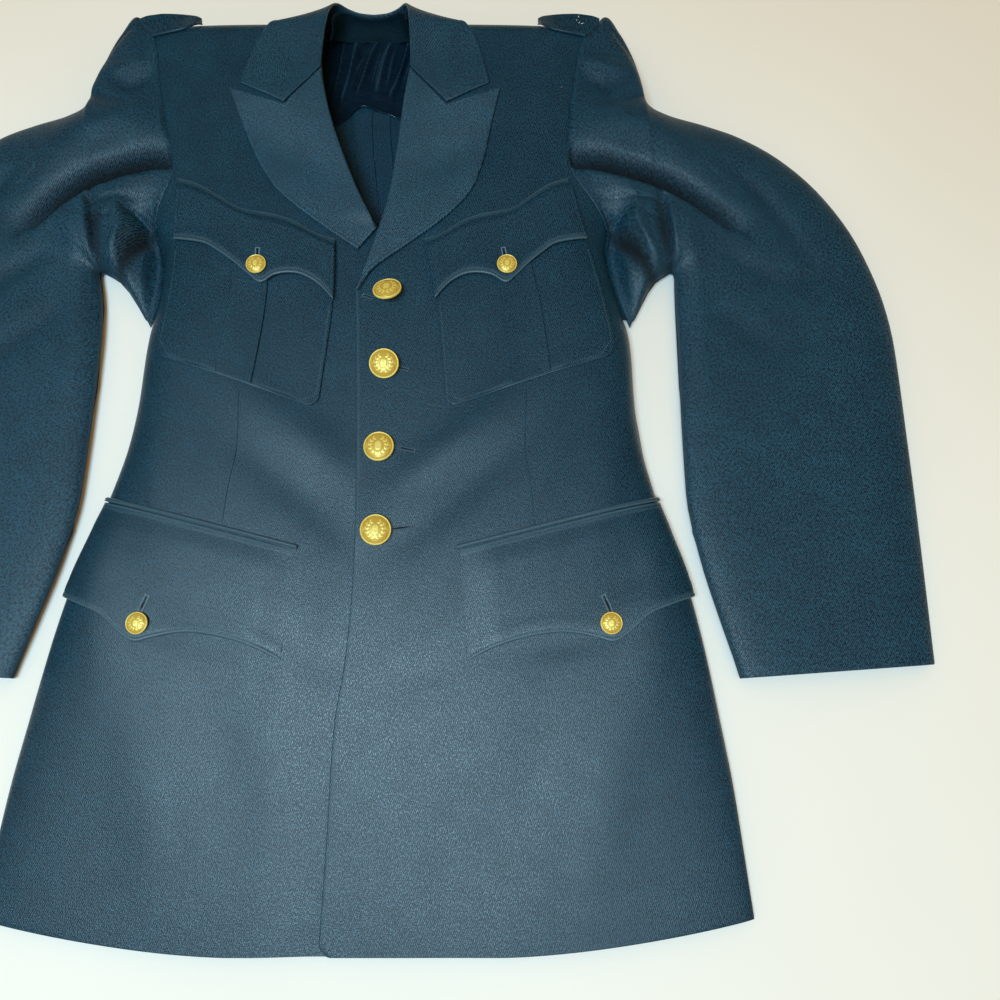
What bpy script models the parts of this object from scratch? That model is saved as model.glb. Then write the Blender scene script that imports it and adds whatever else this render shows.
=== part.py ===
"""Military dress tunic lying on its back, modelled piece by piece as a tailor cuts it.

Sizes are in millimetres and become metres where a mesh is made.  x runs across
the coat towards the wearer's left, y runs from the hem up to the collar and z is
the height above the surface that the coat lies on.

Body pieces are drawn in the coat's own coordinates: `u` is the distance from the
centre line, `v` the distance above the hem, and `side` is +1 for the wearer's left
and -1 for the right.  The centre line leans a little at the top, because the coat
was laid down with its neck off to one side.
"""
import math

import bmesh
import bpy
import numpy as np
from mathutils import Vector

MM = 0.001
LEFT, RIGHT = 1, -1
SIDES = {"left": LEFT, "right": RIGHT}

# ---- driving sizes ---------------------------------------------------------
COAT_TOP = 750.0            # shoulder line above the hem
HALF_LENGTH = 384.3         # half of the whole length, hem to collar fold
CLOTH = 2.0                 # wool cloth with its canvas
SEAM = 0.3                  # air between two pieces that are sewn together
LIFT = 0.45                 # air under a piece that lies on a curved panel
EDGE_LIFT = 0.75            # more air where the panel rolls away at the side
SIDE_SEAM_Z = 5.0           # height of the seam that runs along the side edge
SHOULDER_ROLL = 727.0       # where the front starts to roll over the shoulder
ARMHOLE_FOOT = 544.0        # lowest point of the armhole
SIDE_FADE = 14.0            # below it, the length over which the side seam flattens out
V_FOOT = 532.0              # where the two roll lines cross
LAP_RUN = 14.0              # width over which the right front sinks under the left
LAP_DROP = 2.65             # how far it sinks

# Rows of (v, value).  Half width of the body, measured from the centre line.
HALF_WIDTH = [(0, 262), (120, 252), (252, 230), (292, 217), (321, 209), (351, 202), (383, 198),
              (453, 195), (467, 191.5), (490, 187), (515, 184.5), (530, 185.5), (544, 190.5), (600, 207),
              (750, 212)]
# Height of the front above the floor along the centre line.
CROWN = [(0, 9.5), (60, 12), (150, 18), (250, 25), (350, 30), (450, 34), (550, 36),
         (650, 36.5), (700, 37.5), (750, 40)]
# Inner edge of a front: the buttoned edge, then the roll line, then the neck.
FRONT_EDGE = [(0, -31), (63, -29), (155, -26), (190, -21), (276, -17), (368, -19), (450, -22.5),
              (475, -23), (505, -11.5), (532, 0), (554, 8.5), (573, 15), (600, 21.5), (634, 29),
              (660, 33.5), (690, 38), (750, 44)]
# Armhole seam of the body.
ARMHOLE = [(544, 190.5), (552, 187.5), (560, 182.3), (570, 175.7), (580, 169.3), (590, 165.3),
           (602, 164.3), (622, 167.5), (660, 173.9), (682, 178), (713, 183.2), (726, 187), (750, 190.5)]
# How far the centre line leans, and where the lean starts and ends.
LEAN, LEAN_FROM, LEAN_TO = -25.0, 440.0, 690.0
# Lift of the hem towards the side, and drop of the shoulder line towards the arm.
HEM_LIFT, HEM_FLAT, HEM_REACH = 22.0, 90.0, 172.0
SHOULDER_DROP = 2.0

WOOL = ("wool_twill", (0.022, 0.040, 0.062, 1), 0.85, 0.0)
SATIN = ("satin", (0.008, 0.010, 0.014, 1), 0.35, 0.0)
BRASS = ("gilt_brass", (0.72, 0.50, 0.16, 1), 0.32, 1.0)


# ---- curves ----------------------------------------------------------------
def ease(t):
    """Smooth step from 0 to 1."""
    t = min(max(t, 0.0), 1.0)
    return t * t * (3 - 2 * t)


def along(table, t):
    """Smooth value at t through rows of (t, value...), held flat past both ends."""
    keys = [row[0] for row in table]
    values = [np.array(row[1:], float) for row in table]
    if t <= keys[0]:
        return values[0] if len(values[0]) > 1 else float(values[0][0])
    if t >= keys[-1]:
        return values[-1] if len(values[-1]) > 1 else float(values[-1][0])
    i = max(j for j, key in enumerate(keys) if key <= t)
    i = min(i, len(keys) - 2)
    span = keys[i + 1] - keys[i]
    chord = (values[i + 1] - values[i]) / span
    before = (values[i] - values[i - 1]) / (keys[i] - keys[i - 1]) if i else chord
    after = chord
    if i + 2 < len(keys):
        after = (values[i + 2] - values[i + 1]) / (keys[i + 2] - keys[i + 1])
    start = np.where(before * chord > 0, (before + chord) / 2, 0.0)
    end = np.where(chord * after > 0, (chord + after) / 2, 0.0)
    start = np.clip(start, -3 * abs(chord), 3 * abs(chord))
    end = np.clip(end, -3 * abs(chord), 3 * abs(chord))
    f = (t - keys[i]) / span
    value = (values[i] * (1 + 2 * f) * (1 - f) ** 2 + start * span * f * (1 - f) ** 2
             + values[i + 1] * f * f * (3 - 2 * f) - end * span * f * f * (1 - f))
    return value if len(value) > 1 else float(value[0])


def spread(start, end, count):
    return [start + (end - start) * i / (count - 1) for i in range(count)]


# ---- the body's outer surface ----------------------------------------------
def lean(v):
    return LEAN * ease((v - LEAN_FROM) / (LEAN_TO - LEAN_FROM))


def row_shift(u, v):
    """How far a point of row v lies above or below v, for the hem and the shoulder."""
    outward = max(0.0, abs(u) - HEM_FLAT) / HEM_REACH
    hem = HEM_LIFT * outward ** 1.6 * max(0.0, 1 - v / 150)
    shoulder = SHOULDER_DROP * (u / 180) ** 2 * ease((v - 600) / 150)
    return hem - shoulder


SECTION_STEPS = 96
EDGE_POWER = 5.0            # how square the body's cross-section is
PADDED_POWER = 9.0          # and how square it is at the padded shoulders
_sections = {}


def section(v):
    """Cross-section at row v as arrays of arc length, u and z, from the middle to the side."""
    key = round(v, 3)
    if key not in _sections:
        half = along(HALF_WIDTH, v)
        rolled = 1.0
        if v > SHOULDER_ROLL:
            rolled = math.sqrt(max(0.0, 1 - ((v - SHOULDER_ROLL) / (COAT_TOP - SHOULDER_ROLL)) ** 2))
        rise = (along(CROWN, v) - SIDE_SEAM_Z) * rolled
        angle = np.linspace(0, math.pi / 2, SECTION_STEPS)
        power = EDGE_POWER + (PADDED_POWER - EDGE_POWER) * ease((v - 620) / 100)
        u = half * np.sin(angle) ** (2 / power)
        z = SIDE_SEAM_Z + rise * np.abs(np.cos(angle))
        arc = np.concatenate([[0], np.cumsum(np.hypot(np.diff(u), np.diff(z)))])
        _sections[key] = (arc, u, z)
    return _sections[key]


def side_arc(v):
    return float(section(v)[0][-1])


def arc_at(u, v):
    """Arc length from the centre line to the point of row v that is u from it."""
    arc, us, _ = section(v)
    return math.copysign(float(np.interp(abs(u), us, arc)), u)


def lap(side, u, v):
    """How far the right front sinks to pass under the left one."""
    if side == LEFT:
        return 0.0
    cover = -along(FRONT_EDGE, v)
    return -LAP_DROP * ease((cover + LAP_RUN + 1 - u) / LAP_RUN) * ease((V_FOOT + 16 - v) / 14)


def body_point(side, arc, v, out=0.0):
    """Point of the body's outer surface, moved `out` along its normal."""
    def at(a, row):
        arcs, us, zs = section(row)
        u = math.copysign(float(np.interp(abs(a), arcs, us)), a)
        return Vector((lean(row) + side * u, row + row_shift(u, row), float(np.interp(abs(a), arcs, zs)))), u

    point, u = at(arc, v)
    top = side_arc(v)
    low, high = max(arc - 2.0, -top), min(arc + 2.0, top)
    below, above = max(v - 1.5, 0.0), min(v + 1.5, COAT_TOP)
    across = at(high, v)[0] - at(low, v)[0]
    upward = at(arc, above)[0] - at(arc, below)[0]
    if v >= COAT_TOP - 0.01:
        upward = Vector((0, 0, -1))
    normal = (across.cross(upward) * side).normalized()
    return point + normal * (out + lap(side, u, v)), normal


def on_body(side, u, v, out=0.0):
    return body_point(side, arc_at(u, v), v, out)


# ---- meshes ----------------------------------------------------------------
def material(spec):
    name, colour, roughness, metallic = spec
    found = bpy.data.materials.get(name)
    if found is None:
        found = bpy.data.materials.new(name)
        found.use_nodes = True
        shader = found.node_tree.nodes["Principled BSDF"]
        shader.inputs["Base Color"].default_value = colour
        shader.inputs["Roughness"].default_value = roughness
        shader.inputs["Metallic"].default_value = metallic
    return found


def add_object(name, mesh_data, spec):
    mesh = bpy.data.meshes.new(name)
    mesh_data.to_mesh(mesh)
    mesh_data.free()
    mesh.materials.append(material(spec))
    mesh.shade_smooth()
    mesh.set_sharp_from_angle(angle=math.radians(50))
    thing = bpy.data.objects.new(name, mesh)
    bpy.context.scene.collection.objects.link(thing)
    return thing


def slab(name, outer, inner, spec):
    """Closed wall between two grids of points, given in millimetres."""
    rows, cols = len(outer), len(outer[0])
    bm = bmesh.new()

    def place(point):
        return bm.verts.new((point[0] * MM, (point[1] - HALF_LENGTH) * MM, point[2] * MM))

    top = [[place(p) for p in row] for row in outer]
    low = [[place(p) for p in row] for row in inner]
    for i in range(rows - 1):
        for j in range(cols - 1):
            bm.faces.new((top[i][j], top[i][j + 1], top[i + 1][j + 1], top[i + 1][j]))
            bm.faces.new((low[i][j], low[i + 1][j], low[i + 1][j + 1], low[i][j + 1]))
    rim = ([(0, j) for j in range(cols)] + [(i, cols - 1) for i in range(1, rows)]
           + [(rows - 1, j) for j in range(cols - 2, -1, -1)] + [(i, 0) for i in range(rows - 2, 0, -1)])
    for (i, j), (k, m) in zip(rim, rim[1:] + rim[:1]):
        bm.faces.new((top[i][j], low[i][j], low[k][m], top[k][m]))
    bmesh.ops.recalc_face_normals(bm, faces=bm.faces[:])
    return add_object(name, bm, spec)


def grid_normals(points, side):
    """Unit normals of a grid of points, from its neighbours."""
    rows, cols = len(points), len(points[0])
    normals = []
    for i in range(rows):
        line = []
        for j in range(cols):
            across = points[i][min(j + 1, cols - 1)] - points[i][max(j - 1, 0)]
            upward = points[min(i + 1, rows - 1)][j] - points[max(i - 1, 0)][j]
            line.append((across.cross(upward) * side).normalized())
        normals.append(line)
    return normals


def body_piece(name, side, flat, thickness, spec=WOOL, out=None):
    """A piece that lies on the body: `flat` is a grid of (arc, v), `out` its lift."""
    outer, inner = [], []
    for i, row in enumerate(flat):
        outer_row, inner_row = [], []
        for j, (arc, v) in enumerate(row):
            rise = (out(i, j) if out else LIFT) + EDGE_LIFT * ease((arc - side_arc(v) + 50) / 25)
            point, normal = body_point(side, arc, v, rise)
            inner_row.append(point)
            outer_row.append(point + normal * thickness)
        outer.append(outer_row)
        inner.append(inner_row)
    return slab(name, outer, inner, spec)


# ---- fronts ----------------------------------------------------------------
# Rows of the armhole, which the sleeve's own columns repeat, so that the seam's points meet.
ARMHOLE_ROWS = [544, 553, 563, 574, 587, 603, 630, 660, 690, 715, 733, 745, 750]
FRONT_ROWS = ([0, 14, 40, 75, 110, 145, 180, 220, 260, 300, 340, 380, 420, 450, 475, 505, 520, 532]
              + ARMHOLE_ROWS)
FRONT_COLUMNS = 14
CORNER = 9.0                # radius of the rounded corner at the foot of the front edge


def front_edge(v):
    corner = CORNER - math.sqrt(CORNER ** 2 - (CORNER - v) ** 2) if v < CORNER else 0.0
    return along(FRONT_EDGE, v) + corner


def outer_arc(v):
    """Where the body ends sideways: its side seam, or the armhole above it."""
    if v <= ARMHOLE_FOOT:
        return side_arc(v)
    return arc_at(along(ARMHOLE, v) - SEAM, v)


def front_columns(v):
    """Arc lengths of a front's points on row v, closer together at both edges."""
    start, end = front_edge(v), outer_arc(v)
    lap_half = max(-start, 6.0)
    arcs = [start, start + lap_half, start + 2 * lap_half + 1, start + 2 * lap_half + 1 + LAP_RUN]
    rest = FRONT_COLUMNS - len(arcs)
    power = 1.7 if v <= ARMHOLE_FOOT else 1.3
    return arcs + [end - (end - arcs[-1]) * (1 - k / rest) ** power for k in range(1, rest + 1)]


def make_front(word, side):
    outer, inner = [], []
    for v in FRONT_ROWS:
        outer_row, inner_row = [], []
        for arc in front_columns(v):
            point, normal = body_point(side, arc, v)
            low = point - normal * CLOTH
            low.z = max(low.z, SIDE_SEAM_Z)
            outer_row.append(point)
            inner_row.append(low)
        outer.append(outer_row)
        inner.append(inner_row)
    return slab("front_" + word, outer, inner, WOOL)


# ---- back ------------------------------------------------------------------
# Rows of the armhole on the floor side, shared by the back and the under sleeve.
ARMHOLE_FLOOR = [544, 563, 587, 630, 690, 745]
BACK_ROWS = [0, 40, 90, 150, 210, 260, 300, 345, 390, 430, 467, 500, 530] + ARMHOLE_FLOOR
TURN = [30, 60, 90]         # degrees, at the points of a turned-up edge
CURL = 5.0                  # radius of the turn up to the side and shoulder seams
NECK_HALF = 42.0            # half width of the back neck


def side_fade(v):
    """1 along the side seam, falling to 0 at the foot of the armhole."""
    return 1 - ease((v - ARMHOLE_FOOT + SIDE_FADE) / SIDE_FADE)


def make_back(word, side):
    """The back lies flat and turns up along its side and shoulder seams."""
    outer, inner = [], []
    rise = SIDE_SEAM_Z - SEAM
    turn = [math.radians(a) for a in TURN]
    rows = [(v, 0.0) for v in BACK_ROWS] + [(COAT_TOP - CURL, a) for a in turn]
    for v, lift_angle in rows:
        shoulder_y = CURL * math.sin(lift_angle)
        shoulder_z = rise * (1 - math.cos(lift_angle))
        side_turn = side_fade(v)
        edge = along(HALF_WIDTH, v) if v <= ARMHOLE_FOOT else along(ARMHOLE, v) - SEAM
        flat_end = edge - CURL
        us = [SEAM / 2] + [flat_end * f for f in (0.12, 0.235, 0.5, 0.75, 1.0)]
        heights = [0.0] * len(us)
        insets = [0.0] * len(us)
        for a in turn:
            us.append(flat_end + CURL * math.sin(a))
            heights.append(rise * (1 - math.cos(a)) * side_turn)
            insets.append(math.sin(a) * side_turn)
        outer_row, inner_row = [], []
        for u, height, inset in zip(us, heights, insets):
            shoulder = ease((u - NECK_HALF) / 8) if lift_angle else 0.0
            y = v + row_shift(u, v) + shoulder_y
            z = max(height, shoulder_z * shoulder)
            outer_row.append(Vector((lean(v) + side * u, y, z)))
            back_off = CLOTH * math.sin(lift_angle) * shoulder
            up = CLOTH * min(math.cos(lift_angle) if shoulder else 1.0, math.sqrt(max(0.0, 1 - inset ** 2)))
            up = max(up, 0.0)
            side_off = CLOTH * inset
            inner_row.append(Vector((lean(v) + side * (u - side_off), y - back_off,
                                     z + (up if shoulder < 1 or lift_angle == 0 else
                                          CLOTH * math.cos(lift_angle)))))
        outer.append(outer_row)
        inner.append(inner_row)
    return slab("back_" + word, outer, inner, WOOL)


# ---- lapels ----------------------------------------------------------------
LAPEL = 2.4                 # thickness of a lapel: front and facing together
ROLL_SPRING, ROLL_WIDTH = 1.4, 12.0
NOTCH_U, NOTCH_DIP = 68.5, 29.5
# Rows of (share of the lapel's height, roll line u, v, outer edge u, v).
LEFT_LAPEL = [(0.0, -22.0, 477, -20.0, 477.5), (0.12, -14.0, 498, -7, 496), (0.25, -2.0, 527, 18, 515),
              (0.4, 10.0, 558, 53, 541), (0.55, 19.5, 592, 78, 566), (0.7, 27.5, 627, 93, 596),
              (0.85, 33.5, 660, 105, 634), (1.0, 38.0, 686.5, 115, 667)]
RIGHT_LAPEL = [(0.0, 2.0, 533, 19, 514.5), (0.2, 6.5, 547, 41, 531), (0.4, 12.5, 565, 64, 551.5),
               (0.55, 19.5, 592, 80, 569), (0.7, 27.5, 627, 93, 596),
               (0.85, 33.5, 660, 105, 634), (1.0, 38.0, 686.5, 115, 667)]
LAPEL_ROWS, LAPEL_COLUMNS = 15, 9


def make_lapel(word, side):
    table = LEFT_LAPEL if side == LEFT else RIGHT_LAPEL
    across = spread(0, 1, LAPEL_COLUMNS)
    notch = (NOTCH_U - table[-1][1]) / (table[-1][3] - table[-1][1])
    across[round(notch * (LAPEL_COLUMNS - 1))] = notch
    flat = []
    for share in spread(0, 1, LAPEL_ROWS):
        roll_u, roll_v, edge_u, edge_v = along(table, share)
        row = []
        for f in across:
            u = roll_u + (edge_u - roll_u) * f
            v = roll_v + (edge_v - roll_v) * f
            dip = min(f / notch, (1 - f) / (1 - notch)) * NOTCH_DIP
            v -= dip * share ** 4
            row.append((arc_at(u, v), v))
        flat.append(row)

    def spring(i, j):
        away = (flat[i][j][0] - flat[i][0][0]) / ROLL_WIDTH
        return LIFT + ROLL_SPRING * math.exp(-away ** 2)

    return body_piece("lapel_" + word, side, flat, LAPEL, out=spring)


# ---- collar ----------------------------------------------------------------
COLLAR = 2.2
# Rows of (share of the way round, fold u, v, z, edge u, v, z, wrap).  The first rows
# take their height from the front below them.  `wrap` is 1 where the collar turns
# straight down behind its fold.
COLLAR_ROUTE = [
    (0.00, 38.0, 688.8, 39.0, 106.0, 670.8, 38.5, 0.0),
    (0.16, 37.6, 706.0, 40.0, 100.5, 697.0, 39.5, 0.0),
    (0.30, 36.8, 722.0, 42.0, 94.5, 717.0, 41.0, 0.0),
    (0.43, 35.5, 738.0, 42.5, 87.0, 732.0, 41.0, 0.0),
    (0.54, 33.8, 753.0, 39.5, 80.5, 742.0, 34.5, 0.15),
    (0.64, 31.0, 764.5, 33.0, 76.5, 753.0, 17.0, 0.45),
    (0.74, 25.0, 768.6, 25.5, 67.0, 758.0, 0.0, 0.9),
    (0.86, 14.0, 768.6, 19.5, 41.0, 755.5, 0.0, 1.0),
    (1.00, SEAM / 2, 768.4, 17.5, SEAM / 2, 754.0, 0.0, 1.0),
]
COLLAR_ROWS, COLLAR_COLUMNS = 15, 9
ON_FRONT_END = 0.30


def make_collar(word, side):
    """Half a collar, from its leaf on the front to the seam at the middle of the neck."""
    first = COLLAR_ROUTE[0]
    notch = (NOTCH_U - first[1]) / (first[4] - first[1])
    across = spread(0, 1, COLLAR_COLUMNS)
    across[round(notch * (COLLAR_COLUMNS - 1))] = notch
    outer = []
    for share in spread(0, 1, COLLAR_ROWS):
        fold_u, fold_v, fold_z, edge_u, edge_v, edge_z, wrap = along(COLLAR_ROUTE, share)
        resting = 1 - ease((share - ON_FRONT_END) / 0.13)
        row = []
        for f in across:
            turn = f * math.pi / 2
            go = f * (1 - wrap) + (1 - math.cos(turn)) * wrap
            fall = f * (1 - wrap) + math.sin(turn) * wrap
            u = fold_u + (edge_u - fold_u) * go
            v = fold_v + (edge_v - fold_v) * go
            v -= min(f / notch, (1 - f) / (1 - notch)) * NOTCH_DIP * max(0.0, 1 - share / 0.25) ** 2
            z = fold_z + (edge_z - fold_z) * fall
            if resting:
                away = (u - fold_u) / ROLL_WIDTH
                rise = LIFT + ROLL_SPRING * math.exp(-away ** 2) + COLLAR
                base, normal = on_body(side, u, min(v, COAT_TOP - 12))
                z += (base.z + rise / normal.z - z) * resting
            row.append(Vector((lean(v) + side * u, v, z)))
        outer.append(row)
    normals = grid_normals(outer, side)
    inner = []
    for row, line in zip(outer, normals):
        inner.append([p - n * COLLAR for p, n in zip(row, line)])
    for row, low in zip(outer, inner):
        for p, q in zip(row, low):
            if p.z < 0.01:
                q.z = max(q.z, COLLAR)
    for p in outer[-1] + inner[-1]:
        p.x = LEAN + side * SEAM / 2
    return slab("collar_" + word, outer, inner, WOOL)


# Rows of (share from the middle, top u, v, z, foot u, v, z).
STAND_ROUTE = [(0.0, 0.0, 763.5, 16.1, 0.0, 750.3, 4.6), (0.3, 11.0, 763.3, 17.8, 12.5, 750.1, 4.8),
               (0.55, 20.0, 762.8, 21.5, 22.5, 749.5, 5.7), (0.75, 26.5, 760.0, 26.5, 29.5, 747.0, 8.5),
               (0.9, 30.5, 752.0, 32.5, 34.5, 742.0, 14.5), (1.0, 32.0, 742.0, 35.5, 37.0, 734.0, 21.0)]
STAND_ROWS, STAND_COLUMNS = 15, 5


def make_collar_stand():
    outer = []
    for share in spread(-1, 1, STAND_ROWS):
        top_u, top_v, top_z, foot_u, foot_v, foot_z = along(STAND_ROUTE, abs(share))
        row = []
        for f in spread(0, 1, STAND_COLUMNS):
            go = math.sin(f * math.pi / 2)
            rise = 1 - math.cos(f * math.pi / 2)
            u = math.copysign(foot_u + (top_u - foot_u) * go, share)
            v = foot_v + (top_v - foot_v) * go
            row.append(Vector((LEAN + u, v, foot_z + (top_z - foot_z) * rise)))
        outer.append(row)
    normals = grid_normals(outer, 1)
    inner = []
    for row, line in zip(outer, normals):
        inner.append([p + n * CLOTH for p, n in zip(row, line)])
    return slab("collar_stand", outer, inner, WOOL)


# ---- half lining -----------------------------------------------------------
LINING = 1.0
LINING_HALF = 118.0
LINING_TOP = 748.0
# Rows of (u, v of the lower edge).
LINING_HEM = [(-118, 618), (-60, 648), (-26, 664), (-8, 680), (4, 675), (27, 666), (70, 645), (118, 618)]
# Rows of (u at the top, u at the foot, half width, height) of a wrinkle.
LINING_FOLDS = [(-20, -29, 6.0, 3.2), (-4, -17, 5.0, 2.6), (9, 2, 6.5, 2.2), (24, 17, 5.0, 3.0)]


def lining_rise(u, share):
    """Height of the wrinkles that hang from the neck seam."""
    rise = 0.0
    for top_u, foot_u, half, height in LINING_FOLDS:
        middle = top_u + (foot_u - top_u) * share
        rise += height * math.exp(-((u - middle) / half) ** 2) * math.sin(math.pi * min(1, share + 0.15))
    return max(rise, 0.0)


def make_half_lining():
    outer, inner = [], []
    for share in spread(0, 1, 7):
        outer_row, inner_row = [], []
        for u in [-LINING_HALF, -85, -55] + spread(-38, 38, 15) + [55, 85, LINING_HALF]:
            foot = along(LINING_HEM, u)
            top = LINING_TOP - 9 * ease((abs(u) - 38) / 10)
            v = top + (foot - top) * share
            z = CLOTH + LIFT + lining_rise(u, share)
            inner_row.append(Vector((lean(v) + u, v, z)))
            outer_row.append(Vector((lean(v) + u, v, z + LINING)))
        outer.append(outer_row)
        inner.append(inner_row)
    return slab("half_lining", outer, inner, SATIN)


# ---- sleeves ---------------------------------------------------------------
# Rows of (place along the sleeve, inner edge u, v, outer edge u, v, z, height of the middle).
# Place 0 is the edge that meets the body: up its side to the armhole, then round the armhole.
SLEEVE_ROUTE = [
    (0, 198, 461, 190.8, 750, 5, 33), (1, 206, 475, 209, 756, 27, 34), (2, 214, 489, 222.5, 742, 20, 34),
    (3, 222, 500, 232.5, 722, 14, 33), (4, 228, 505, 238.5, 702, 9, 33), (5, 233, 508, 243.5, 675, 6, 32),
    (6, 236, 510, 260, 662, 5, 31), (7, 238, 511, 292, 652, 5, 29), (8, 239.5, 511, 322, 640, 5, 27),
    (9, 240.3, 510, 352, 620, 5, 24), (10, 240.5, 507, 378, 590, 5, 21), (11, 239.5, 500, 397, 550, 5, 19),
    (12, 237.5, 487, 407, 505, 5, 17.5), (13, 236, 465, 411, 465, 5, 17),
    (14, 234.5, 420, 412, 420, 5, 16.5), (15, 233.7, 360, 411.5, 365, 5, 16),
    (16, 234, 313, 411, 318, 5, 15.5), (17, 242, 265, 410, 272, 5, 15),
    (18, 253, 222, 409, 230, 5, 14.5), (19, 265, 180, 408, 190, 5, 14)]
# Rows of (v, u) of that edge below the armhole.
SLEEVE_SIDE = [(461, 198), (475, 198.2), (490, 196.5), (503, 194), (515, 191.2), (530, 189), (544, 190.8)]
SLEEVE_TIP = SLEEVE_SIDE[0][0]
SLEEVE_POWER = 5.0
HEAD_PLACES = 2.2           # places over which the sleeve rises from the armhole seam
HEAD_TOP_PLACES = 0.8       # the same at the top of the shoulder
# Creases as (width, depth, points (u, v)...), widest where the arm bends.
SLEEVE_CREASES = [
    (9.0, 10.0, (172, 592), (190, 593), (212, 589), (234, 583), (262, 570), (290, 548)),
    (6.0, 7.0, (200, 545), (214, 520), (228, 506)),
    (5.0, 5.0, (247, 566), (243, 530), (240, 505)),
]


def crease_depth(u, v):
    """Depth of the creases at a point of the sleeve."""
    depth = 0.0
    for width, deep, *points in SLEEVE_CREASES:
        best, where = 1e9, 0.0
        for k, ((au, av), (bu, bv)) in enumerate(zip(points, points[1:])):
            run = (bu - au) ** 2 + (bv - av) ** 2
            f = min(max(((u - au) * (bu - au) + (v - av) * (bv - av)) / run, 0.0), 1.0)
            gap = math.hypot(u - au - f * (bu - au), v - av - f * (bv - av))
            if gap < best:
                best, where = gap, (k + f) / (len(points) - 1)
        fade = math.sin(math.pi * min(max(0.08 + 0.84 * where, 0), 1)) ** 0.5
        depth += deep * fade * math.exp(-(best / width) ** 2)
    return depth


def sleeve_edge(v):
    return along(SLEEVE_SIDE, v) if v < ARMHOLE_FOOT else along(ARMHOLE, v) + SEAM


def sleeve_row(f):
    """Row of the coat that a share of place 0 lies on."""
    return SLEEVE_TIP + (COAT_TOP - SLEEVE_TIP) * f


def sleeve_plan(place, f):
    """Plan position (u, v) at a place along the sleeve, f of the way across."""
    inner_u, inner_v, outer_u, outer_v, _, _ = along(SLEEVE_ROUTE, place)
    u = inner_u + (outer_u - inner_u) * f
    v = inner_v + (outer_v - inner_v) * f
    fade = 1 - ease(place / 4)
    if fade > 0:
        _, tip_u, _, top_u, *_ = SLEEVE_ROUTE[0]
        edge = sleeve_edge(sleeve_row(f))
        u += (edge - tip_u - (top_u - tip_u) * f) * fade
        v += row_shift(edge, sleeve_row(f)) * fade
    return u, v


def sleeve_height(place, f, u, v):
    *_, outer_z, middle = along(SLEEVE_ROUTE, place)
    edge_z = SIDE_SEAM_Z if f < 0.5 else outer_z
    round_off = abs(2 * f - 1)
    own = edge_z + (middle - edge_z) * math.sqrt(max(0.0, 1 - round_off ** SLEEVE_POWER))
    own -= crease_depth(u, v) * (1 - round_off ** 6) * ease(place / 2)
    head = HEAD_PLACES + (HEAD_TOP_PLACES - HEAD_PLACES) * f ** 8
    if place < head:
        row = sleeve_row(f)
        body = body_point(LEFT, outer_arc(row), row)[0].z
        own = body + (own - body) * ease(place / head)
    return max(own, SIDE_SEAM_Z)


# Rows of place 0 that the columns of the upper sleeve start from.
UPPER_ROWS = [461, 465, 473, 488, 508, 530] + ARMHOLE_ROWS
# Rows of (row, turn in degrees) of the columns of the under sleeve.
UNDER_ROWS = ([(461, 90), (465, 30), (470, 0), (500, 0), (530, 0)] + [(v, 0) for v in ARMHOLE_FLOOR]
              + [(745 + 5 * math.sin(math.radians(a)), a) for a in TURN])
SLEEVE_PLACES = [0, 0.5, 1.3, 2.3, 3.3, 4.3, 5.3, 6.5, 7.7, 9, 10.2, 11.3, 12.5, 14.2, 16.5, 19]


def share_of(row):
    return (row - SLEEVE_TIP) / (COAT_TOP - SLEEVE_TIP)


def sleeve_point(side, place, f, z):
    u, v = sleeve_plan(place, f)
    return Vector((lean(v) + side * u, v, z))


def into_sleeve(side, place, f):
    """Unit vector along the floor, from the nearer long edge towards the other one."""
    step = sleeve_point(side, place, f + (0.01 if f < 0.5 else -0.01), 0) - sleeve_point(side, place, f, 0)
    return step.normalized()


def make_sleeve_upper(word, side):
    outer = []
    for place in SLEEVE_PLACES:
        row = []
        for f in map(share_of, UPPER_ROWS):
            row.append(sleeve_point(side, place, f, sleeve_height(place, f, *sleeve_plan(place, f))))
        outer.append(row)
    inner = []
    for row, line in zip(outer, grid_normals(outer, -side)):
        inner.append([p - (n if n.z > 0 else Vector((n.x, n.y, 0)).normalized()) * CLOTH
                      for p, n in zip(row, line)])
    for place, row, low in zip(SLEEVE_PLACES, outer, inner):
        for q in low:
            q.z = max(q.z, SIDE_SEAM_Z)
        low[0] = row[0] + into_sleeve(side, place, 0) * CLOTH
        low[-1] = row[-1] + into_sleeve(side, place, 1) * CLOTH
    return slab("sleeve_" + word + "_upper", outer, inner, WOOL)


def make_sleeve_under(word, side):
    """Under sleeve: flat on the floor, turned up along its edges."""
    outer, inner = [], []
    for place in SLEEVE_PLACES:
        outer_row, inner_row = [], []
        outer_rise = sleeve_height(place, 1, *sleeve_plan(place, 1)) - SEAM
        for row, angle in UNDER_ROWS:
            f = share_of(row)
            rise = SIDE_SEAM_Z - SEAM if f < 0.5 else outer_rise
            a = math.radians(angle)
            beside_body = side_fade(row) if place == 0 else 0.0
            z = rise * max(1 - math.cos(a), beside_body)
            point = sleeve_point(side, place, f, z)
            across = into_sleeve(side, place, f)
            onward = (sleeve_point(side, place + 0.1, f, z) - point).normalized() * beside_body
            up = CLOTH * min(math.cos(a), 1 - beside_body)
            outer_row.append(point)
            inner_row.append(point + (across * math.sin(a) + onward) * CLOTH + Vector((0, 0, up)))
        outer.append(outer_row)
        inner.append(inner_row)
    return slab("sleeve_" + word + "_under", outer, inner, WOOL)


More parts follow.
